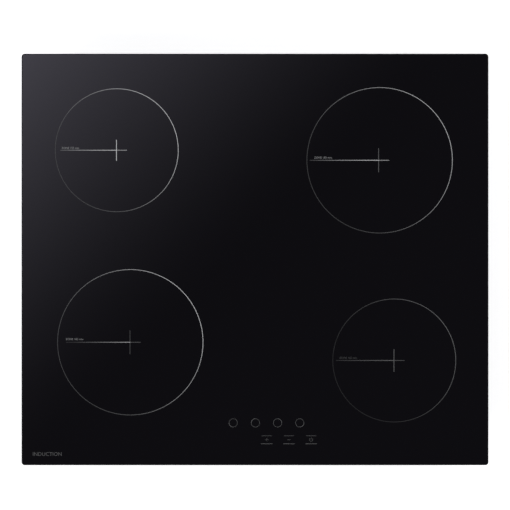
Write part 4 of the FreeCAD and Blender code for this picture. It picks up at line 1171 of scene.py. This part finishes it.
@dataclass
class Case:
    """The folded steel base and what holds it: side screws and welded corner flaps.

    Attributes:
        sheet: thickness of a flap.
        flap: how far a flap goes round the corner.
        weld: radius of a spot weld.
        screw_shank: radius of a side screw.
        head_tall: height of its head.
        near_wall: a screw whose middle is nearer than this to the left or right end is in that wall.
        over_tray: how far over the coil tray's foot a flap starts.
        under_top: how far under the base's top it ends.
    """

    sheet: float = 0.8 * MM
    flap: float = 15 * MM
    weld: float = 2.2 * MM
    screw_shank: float = 1.75 * MM
    head_tall: float = 1.8 * MM
    near_wall: float = 8 * MM
    over_tray: float = 2.5 * MM
    under_top: float = 1.2 * MM

    def screws(self) -> None:
        """Drive a pan-head screw through the wall and the glass frame wherever the CAD has one."""
        boxes = solids("frame_screws")
        low, high = boxes[0]
        spread = sorted(high - low)
        kind = Screw("side_screw", self.screw_shank, spread[2] - self.head_tall, spread[1] / 2,
                     self.head_tall, pitch=0.8 * MM)
        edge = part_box("frame_screws")[1]
        places = []
        for low, high in boxes:
            middle = middle_of(low, high)
            seat, way = middle.copy(), Vector((0, 0, 0))
            axis = 0 if abs(middle.x) > edge.x - self.near_wall else 1
            way[axis] = math.copysign(1, middle[axis])
            seat[axis] = math.copysign(edge[axis] - self.head_tall, middle[axis])
            places.append((seat, way))
        screws = kind.driven("side_screws", places)
        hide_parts("frame_screws")
        SHOP.hand_over(screws, ZINC_PLATE)

    def flaps(self) -> None:
        """Weld the four flaps that close the base's upper corners."""
        low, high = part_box("base_tray")
        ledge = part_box("coil_tray")[0].z + self.over_tray
        skirt = high.z - self.under_top
        lens = [(0, -0.2 * MM), (0.55 * self.weld, -0.2 * MM), (0.6 * self.weld, 0.02 * MM),
                (0.8 * self.weld, 0.16 * MM), (self.weld, 0.02 * MM), (self.weld, -0.2 * MM), (0, -0.2 * MM)]
        made = []
        for side in (-1, 1):
            for end in (-1, 1):
                wall = side * high.x
                x_pair = sorted((wall, wall + side * self.sheet))
                y_pair = sorted((end * (high.y - 0.3 * MM), end * (high.y - self.flap)))
                low_corner = (x_pair[0], y_pair[0], ledge)
                high_corner = (x_pair[1], y_pair[1], skirt)
                made.append(block("flap", low_corner, high_corner, 0.25 * MM))
                for share in (0.2, 0.5, 0.8):
                    height = ledge + share * (skirt - ledge)
                    spot = (wall + side * self.sheet, end * (high.y - self.flap / 2), height)
                    made.append(turned("weld", lens, spot, 20, (side, 0, 0)))
        flaps = joined("base_corner_flaps", made)
        SHOP.hand_over(flaps, GALVANISED)

    def build(self) -> None:
        """Build the screws and the flaps."""
        self.screws()
        self.flaps()


@dataclass
class CoilUnit:
    """One zone's coil: a flat winding of litz wire, and the springs that lift the unit to the glass.

    Attributes:
        zone: which zone it serves.
        pitch: distance between two turns of the winding.
        wire: radius of the litz wire.
        chords: control points in one turn.
        spring_wire: radius of the spring's wire.
        spring_turns: turns of a spring.
        travel: how far the unit can be pressed down; not used.
    """

    zone: str
    pitch: float = 3.4 * MM
    wire: float = 1.65 * MM
    chords: int = 24
    spring_wire: float = 0.45 * MM
    spring_turns: int = 5
    travel: float = 3 * MM

    def winding(self) -> None:
        """Wind the wire from the inside to the outside, as one flat spiral."""
        node_name = f"{self.zone}_coil_winding"
        low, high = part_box(node_name)
        middle = middle_of(low, high)
        inner = bore_radius(node_name) + self.wire
        outer = (high.x - low.x) / 2 - self.wire
        steps = int((outer - inner) / self.pitch * self.chords)
        route = []
        for step in range(steps + 1):
            angle = math.tau * step / self.chords
            radius = inner + (outer - inner) * step / steps
            route.append((middle.x + radius * math.cos(angle), middle.y + radius * math.sin(angle), middle.z))
        winding = tube_through(f"{self.zone}_coil_turns", route, self.wire)
        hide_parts(node_name)
        SHOP.hand_over(winding, LITZ, f"{self.zone}_coil")

    def springs(self) -> None:
        """Wind the compression springs with their closed ends."""
        node_name = f"{self.zone}_coil_springs"
        boxes = solids(node_name)
        low, high = boxes[0]
        tall = high.z - low.z
        radius = (high.y - low.y) / 2 - self.spring_wire
        per_turn = 16
        dead = 0.8
        route = []
        for step in range(self.spring_turns * per_turn + 1):
            turn = step / per_turn
            share = min(max((turn - dead) / (self.spring_turns - 2 * dead), 0), 1)
            height = low.z + self.spring_wire + share * (tall - 2 * self.spring_wire)
            angle = math.tau * turn
            route.append((radius * math.cos(angle), radius * math.sin(angle), height))
        model = tube_through("lifting_spring", route, self.spring_wire, 1)
        made = []
        for number, pair in enumerate(boxes):
            middle = middle_of(*pair)
            made.append(copy_at(model, f"spring_{number}", Matrix.Translation((middle.x, middle.y, 0))))
        bpy.data.objects.remove(model)
        springs = joined(f"{self.zone}_lifting_springs", made)
        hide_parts(node_name)
        SHOP.hand_over(springs, SPRING_STEEL)
        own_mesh(springs)

    def build(self) -> None:
        """Build the winding and the springs."""
        self.winding()
        self.springs()


@dataclass
class WorktopClamp:
    """A clamp bolt: its threaded shank goes up through a weld nut and its head is turned from below.

    Attributes:
        corner: which corner of the base it is at.
        shank: radius over the thread.
        head_tall: height of the head.
    """

    corner: str
    shank: float = 2.5 * MM
    head_tall: float = 3.4 * MM

    def build(self) -> None:
        """Turn the bolt and hang it on its own body."""
        node_name = f"{self.corner}_clamp_screw"
        low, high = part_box(node_name)
        middle = middle_of(low, high)
        kind = Screw("clamp_bolt", self.shank, high.z - low.z - self.head_tall, (high.x - low.x) / 2,
                     self.head_tall)
        seat = (middle.x, middle.y, low.z + self.head_tall)
        bolt = kind.driven(f"{self.corner}_clamp_bolt", [(seat, (0, 0, -1))])
        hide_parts(node_name)
        SHOP.hand_over(bolt, ZINC_PLATE, f"{self.corner}_bolt")


@dataclass
class Chokes:
    """The mains filter's two chokes: a coated ring core with two windings of enamelled wire each.

    Attributes:
        turns: turns of one winding.
        wire: radius of the wire.
        spread: how far round the core a winding reaches, in degrees.
        bore: radius of the hole through a wound choke.
        edge: width of the core's bevels.
    """

    turns: int = 11
    wire: float = 0.7 * MM
    spread: float = 130
    bore: float = 8.5 * MM
    edge: float = 1.2 * MM

    def build(self) -> None:
        """Wind both chokes."""
        wound, cores = [], []
        for low, high in solids("filter_chokes"):
            middle = middle_of(low, high)
            outer = (high.x - low.x) / 2 - 2 * self.wire
            inner = self.bore + 2 * self.wire
            half = (high.z - low.z) / 2 - 2 * self.wire
            edge = self.edge
            section = [(inner + edge, -half), (outer - edge, -half), (outer, -half + edge),
                       (outer, half - edge), (outer - edge, half), (inner + edge, half),
                       (inner, half - edge), (inner, -half + edge), (inner + edge, -half)]
            cores.append(turned("core", section, middle, 48))
            mean, reach = (inner + outer) / 2, (outer - inner) / 2 + self.wire
            loop = add(Primitive.TORUS, "loop", (0, 0, 0), (1, (half + self.wire) / reach, 1),
                       major_radius=reach, minor_radius=self.wire, major_segments=24, minor_segments=8)
            loop.data.transform(Matrix.Translation((mean, 0, 0)) @ Matrix.Rotation(math.pi / 2, 4, "X"))
            shade(loop, 60)
            for side in (0, 180):
                for turn in range(self.turns):
                    angle = side - self.spread / 2 + self.spread * turn / (self.turns - 1)
                    spin = Matrix.Translation(middle) @ Matrix.Rotation(math.radians(angle), 4, "Z")
                    wound.append(copy_at(loop, "turn", spin))
            bpy.data.objects.remove(loop)
        windings = joined("choke_windings", wound)
        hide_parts("filter_chokes")
        SHOP.hand_over(windings, ENAMELLED_COPPER)
        SHOP.hand_over(joined("choke_cores", cores), FERRITE)


@dataclass
class TerminalScrews:
    """The slotted screws in the terminal block's wells, reached with the cover open.

    Attributes:
        ways: how many terminals there are.
        head: radius of a head.
        deep: how far up a well its screw's seat is, as a share of the block's height.
        back: how far the wells lie from the block's middle, as a share of its depth.
    """

    ways: int = 6
    head: float = 2.7 * MM
    deep: float = 0.2
    back: float = 0.2

    def build(self) -> None:
        """Put a screw under each terminal."""
        low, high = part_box("terminal_block")
        middle = middle_of(low, high)
        kind = Screw("terminal_screw", shank=1.8 * MM, length=5 * MM, head=self.head, tall=1.6 * MM,
                     pitch=0.7 * MM, shape=Head.CHEESE, drive=Drive.SLOT)
        step = (high.x - low.x) / self.ways
        seat = low.z + self.deep * (high.z - low.z)
        row = middle.y - self.back * (high.y - low.y)
        places = [((low.x + (way + 0.5) * step, row, seat), (0, 0, -1)) for way in range(self.ways)]
        SHOP.hand_over(kind.driven("terminal_screws", places), ZINC_PLATE)


@dataclass
class FanLid:
    """The raised motor plate on a fan's housing, with its ribs and screws.

    Attributes:
        side: which fan, left or right.
        plate: radius of the motor plate.
        rib: width and height of a rib.
        ribs: how many ribs there are.
        reach: how far out the ribs go.
        fixing: how far out the screws are.
    """

    side: str
    plate: float = 20 * MM
    rib: float = 1.4 * MM
    ribs: int = 12
    reach: float = 36 * MM
    fixing: float = 40.5 * MM

    def build(self) -> None:
        """Make the plate and its ribs, and put in three screws."""
        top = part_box(f"{self.side}_fan_housing")[1].z - 0.1 * MM
        hub = middle_of(*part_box(f"{self.side}_fan_impeller"))
        place = Vector((hub.x, hub.y, top))
        rim = self.plate
        profile = [(0, 0), (rim, 0), (rim - 0.2 * MM, 2 * MM), (rim - 0.7 * MM, 2.5 * MM),
                   (rim - 2.3 * MM, 2.5 * MM), (rim - 3 * MM, 1.8 * MM), (7 * MM, 1.8 * MM),
                   (6.4 * MM, 1.1 * MM), (0, 1.1 * MM)]
        parts = [turned("plate", profile, place, 48)]
        rib = block("rib", (rim - 0.5 * MM, -self.rib / 2, 0), (self.reach, self.rib / 2, self.rib), 0.3 * MM)
        for turn in range(self.ribs):
            spin = Matrix.Rotation(math.tau * (turn + 0.5) / self.ribs, 4, "Z")
            parts.append(copy_at(rib, "rib", Matrix.Translation(place) @ spin))
        bpy.data.objects.remove(rib)
        parts.append(turned("edge", [(self.reach - 1 * MM, 0), (self.reach + 1 * MM, 0),
                                     (self.reach + 0.8 * MM, self.rib), (self.reach - 0.8 * MM, self.rib),
                                     (self.reach - 1 * MM, 0)], place, 64))
        SHOP.hand_over(joined(f"{self.side}_fan_lid", parts), FAN_ABS)
        kind = Screw("fan_screw", shank=1.2 * MM, length=3 * MM, head=2.4 * MM, tall=1.4 * MM)
        out = Vector((self.fixing, 0, 0.1 * MM))
        places = [(place + Matrix.Rotation(math.radians(45 + 120 * turn), 4, "Z") @ out, (0, 0, 1))
                  for turn in range(3)]
        SHOP.hand_over(kind.driven(f"{self.side}_fan_screws", places), ZINC_PLATE)


def standing(name: str, spot: Spot, foot: float, size: Point, edge: float = 0.0) -> bpy.types.Object:
    """A block that stands on a board.

    Args:
        name: name of the piece.
        spot: its middle.
        foot: height of its underside.
        size: half its width, half its depth, and its height.
        edge: radius of the edges, or 0.

    Returns:
        The piece.
    """
    wide, deep, tall = size
    return block(name, (spot[0] - wide, spot[1] - deep, foot), (spot[0] + wide, spot[1] + deep, foot + tall),
                 edge)


@dataclass
class BoardParts:
    """The small parts soldered to one power board, between the heatsink and the capacitors.

    Sizes of boxed parts are half the width, half the depth, and the height.

    Attributes:
        side: which board, left or right.
        relay: size of a relay.
        chip: size of a control chip's body.
        leg: size of a chip's leg.
        legs: legs on one side of a chip.
        resistor: size of a resistor.
        cap: size of its end cap.
        socket: size of a plug socket.
        room: size of the room inside it.
        pin: size of one of its pins.
        can_out: how far out from the board's inner edge the small capacitors are.
        relay_out: the same for the relays.
        resistor_out: the same for the inner resistors.
        chip_out: the same for the chips.
        socket_out: the same for the plug sockets.
        can_rows: y of each small electrolytic capacitor.
        relay_rows: y of each relay.
        chip_rows: y of each chip.
        socket_rows: y of each socket.
    """

    side: str
    relay: Point = (9 * MM, 8 * MM, 15 * MM)
    chip: Point = (2 * MM, 5 * MM, 1.6 * MM)
    leg: Point = (0.6 * MM, 0.2 * MM, 0.5 * MM)
    legs: int = 8
    resistor: Point = (1.6 * MM, 0.8 * MM, 0.7 * MM)
    cap: Point = (0.125 * MM, 0.8 * MM, 0.72 * MM)
    socket: Point = (3 * MM, 9 * MM, 9 * MM)
    room: Point = (2 * MM, 8 * MM, 7 * MM)
    pin: Point = (0.5 * MM, 0.5 * MM, 6 * MM)
    can_out: float = 56 * MM
    relay_out: float = 66 * MM
    resistor_out: float = 96 * MM
    chip_out: float = 118 * MM
    socket_out: float = 162 * MM
    can_rows: tuple[float, ...] = (-100 * MM, -55 * MM, 5 * MM, 60 * MM, 84 * MM)
    relay_rows: tuple[float, ...] = (-78 * MM, 32 * MM)
    chip_rows: tuple[float, ...] = (-50 * MM, -8 * MM, 55 * MM)
    socket_rows: tuple[float, ...] = (-108 * MM, -4 * MM, 52 * MM)

    def across(self, distance: float) -> float:
        """x at that distance outwards from the board's inner edge."""
        low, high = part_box(f"{self.side}_power_board")
        sign = 1 if self.side == "right" else -1
        return sign * (min(abs(low.x), abs(high.x)) + distance)

    def cans(self, top: float) -> list[bpy.types.Object]:
        """The small electrolytic capacitors, each with the groove that holds its seal."""
        can = [(0, 0), (5.6 * MM, 0), (6 * MM, 0.6 * MM), (5.7 * MM, 1.4 * MM), (6 * MM, 2.2 * MM),
               (6 * MM, 13.4 * MM), (5.5 * MM, 14 * MM), (4.6 * MM, 13.9 * MM), (4.4 * MM, 13.6 * MM),
               (0, 13.6 * MM)]
        return [turned("can", can, (self.across(self.can_out), y, top), 28) for y in self.can_rows]

    def chip_legs(self, x: float, y: float, top: float) -> list[bpy.types.Object]:
        """The rows of legs at both sides of a chip.

        Args:
            x: the chip's middle.
            y: the chip's middle.
            top: height of the board's face.

        Returns:
            The legs.
        """
        out = self.chip[0] + 0.3 * MM
        return [standing("leg", (x + side * out, y + (leg - (self.legs - 1) / 2) * 1.2 * MM), top, self.leg)
                for side in (-1, 1) for leg in range(self.legs)]

    def socket_at(self, y: float, top: float) -> tuple[bpy.types.Object, list[bpy.types.Object]]:
        """A hollow plug socket with four pins.

        Args:
            y: its middle.
            top: height of the board's face.

        Returns:
            The shell and the pins.
        """
        x = self.across(self.socket_out)
        shell = standing("socket", (x, y), top, self.socket, 0.4 * MM)
        wide, deep, tall = self.room
        foot = top + 3 * MM
        carve(shell, (x - wide, y - deep, foot), (x + wide, y + deep, foot + tall))
        pins = [standing("pin", (x, y + (4 * pin - 6) * MM), top + 2 * MM, self.pin, 0.15 * MM)
                for pin in range(4)]
        return shell, pins

    def build(self) -> None:
        """Place the relays, the small capacitors, the chips, the resistors and the plug sockets."""
        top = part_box("capacitors")[0].z
        dark, sockets, pins = [], [], []
        cans = self.cans(top)
        for y in self.relay_rows:
            dark.append(standing("relay", (self.across(self.relay_out), y), top, self.relay, 0.6 * MM))
        for y in self.chip_rows:
            x = self.across(self.chip_out)
            dark.append(standing("chip", (x, y), top + 0.2 * MM, self.chip, 0.2 * MM))
            pins += self.chip_legs(x, y, top)
        for row in range(8):
            x, y = self.across(self.resistor_out + 5 * (row % 2) * MM), (-66 + 17 * row) * MM
            dark.append(standing("resistor", (x, y), top, self.resistor, 0.15 * MM))
            out = self.resistor[0] + 0.175 * MM
            pins += [standing("cap", (x + end * out, y), top, self.cap) for end in (-1, 1)]
        for y in self.socket_rows:
            shell, its_pins = self.socket_at(y, top)
            sockets.append(shell)
            pins += its_pins
        for name, parts, finish, slot in (("board_packages", dark, EPOXY, "epoxy_package"),
                                          ("board_cans", cans, ROLLED_ALUMINIUM, "capacitor_film"),
                                          ("board_sockets", sockets, WHITE_POLYAMIDE, "white_plastic"),
                                          ("board_pins", pins, TINNED, "zinc_screw")):
            SHOP.hand_over(joined(f"{self.side}_{name}", parts), finish)


# ---- light and camera ----


@dataclass
class Studio:
    """A pale floor, soft lights, a card over the glass, and the camera straight above.

    Attributes:
        lens: focal length in millimetres.
        reach: how high the camera is over the glass.
        aim: how far behind the plate's middle it looks.
        card: how high the card is over the glass.
        card_size: width and depth of the card.
        fade: how fast the card darkens across the plate's width and depth, as shares of both.
        glow: the card's brightness at its bright corner, over the rest.
        dusk: the card's brightness everywhere else.
        floor_glow: how strongly the floor glows.
    """

    lens: float = 100
    reach: float = 1.789
    aim: float = 5.6 * MM
    card: float = 2.7
    card_size: Spot = (2.4, 2.2)
    fade: Spot = (1.1, 0.95)
    glow: float = 1.3
    dusk: float = 0.08
    floor_glow: float = 0.62

    def floor(self) -> None:
        """Lay a pale floor that glows a little, so that the shadow on it is faint."""
        floor = add(Primitive.PLANE, "studio_floor", (0, 0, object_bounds()[0].z - 0.3 * MM), size=24)
        paper = blank_material("matt_white_paper")
        tree = paper.node_tree
        place = node(tree, "TexCoord").outputs["Object"]
        grain = node(tree, "TexNoise", {"Vector": place, "Scale": 6.0}).outputs["Fac"]
        rough = node(tree, "MapRange", {"Value": grain, "To Min": 0.85, "To Max": 0.95}).outputs["Result"]
        floor.data.materials.append(shaded(paper, {
            "Base Color": linear("#F4F4F4"), "Roughness": rough, "Specular IOR Level": 0.0,
            "Emission Color": linear("#FFFFFF"), "Emission Strength": self.floor_glow,
        }))
        floor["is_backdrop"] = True

    def overhead(self) -> None:
        """Hang the card whose brightness fades from one corner: the sheen on the glass is its reflection."""
        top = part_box("glass_top")[1]
        width, depth = self.card_size
        card = add(Primitive.PLANE, "overhead_card", (0, 0, top.z + self.card), (width, depth, 1),
                   (math.pi, 0, 0), size=1)
        paper = blank_material("fading_card")
        tree = paper.node_tree
        place = node(tree, "TexCoord").outputs["Object"]
        axes = node(tree, "SeparateXYZ", {"Vector": place}).outputs
        spread = 1 + self.card / self.reach
        ramps = []
        for axis, fade, slope in (("X", self.fade[0], 1 / (top.x * 2 * spread)),
                                  ("Y", self.fade[1], -1 / (top.y * 2 * spread))):
            ramps.append(node(tree, "Math", {0: axes[axis], 1: fade * slope, 2: fade / 2},
                              operation="MULTIPLY_ADD").outputs[0])
        far = node(tree, "Math", dict(enumerate(ramps)), operation="ADD", use_clamp=True).outputs[0]
        near = node(tree, "Math", {0: 1.0, 1: far}, operation="SUBTRACT").outputs[0]
        glow = node(tree, "Math", {0: near, 1: 2.0}, operation="POWER").outputs[0]
        strength = node(tree, "Math", {0: glow, 1: self.glow, 2: self.dusk},
                        operation="MULTIPLY_ADD").outputs[0]
        light = node(tree, "Emission", {"Color": linear("#EEEAFF"), "Strength": strength})
        node(tree, "OutputMaterial", {"Surface": light.outputs["Emission"]})
        card.data.materials.append(paper)
        card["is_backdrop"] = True

    def lamps(self) -> None:
        """Set two soft boxes low enough that the glass doesn't mirror them upwards."""
        for name, place, size, power in (("key_light", (-2.0, -1.8, 1.9), 1.6, 42),
                                         ("fill_light", (2.3, 1.4, 1.7), 1.8, 30)):
            deselect()
            bpy.ops.object.light_add(type="AREA", location=place)
            lamp = bpy.context.object
            lamp.name = name
            lamp.data.size = size
            lamp.data.energy = power
            lamp.rotation_euler = Vector(place).to_track_quat("Z", "Y").to_euler()

    def sky(self) -> None:
        """Surround the set with pale walls and a darker ceiling."""
        world = bpy.data.worlds.new("pale_room")
        world.use_nodes = True
        tree = world.node_tree
        tree.nodes.clear()
        way = node(tree, "TexCoord").outputs["Generated"]
        height = node(tree, "SeparateXYZ", {"Vector": way}).outputs["Z"]
        glow = node(tree, "MapRange", {"Value": height, "From Min": 0.1, "From Max": 0.75, "To Min": 1.0,
                                       "To Max": 0.12}).outputs["Result"]
        room = node(tree, "Background", {"Color": linear("#FFFFFF"), "Strength": glow})
        node(tree, "OutputWorld", {"Surface": room.outputs["Background"]})
        bpy.context.scene.world = world

    def camera(self) -> None:
        """Put the camera straight above the plate."""
        deselect()
        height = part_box("glass_top")[1].z + self.reach
        bpy.ops.object.camera_add(location=(0, self.aim, height), rotation=(0, 0, 0))
        camera = bpy.context.object
        camera.data.lens = self.lens
        camera.data.sensor_width = 36
        camera.data.clip_end = 60
        bpy.context.scene.camera = camera
        bpy.context.scene.view_settings.view_transform = "Standard"

    def build(self) -> None:
        """Set everything up."""
        self.floor()
        self.overhead()
        self.lamps()
        self.sky()
        self.camera()


def main() -> None:
    """Dress the frame, build every piece, and set the light and the camera."""
    logging.basicConfig(level=logging.INFO, format="%(message)s")
    SHOP.dress_nodes()
    GlassPlate().build()
    Prints().build()
    Case().build()
    for zone in ZONES:
        CoilUnit(zone).build()
    for corner in CORNERS:
        WorktopClamp(corner).build()
    for side in ("left", "right"):
        BoardParts(side).build()
        FanLid(side).build()
    Chokes().build()
    TerminalScrews().build()
    Studio().build()


if __name__ == "__main__":
    main()
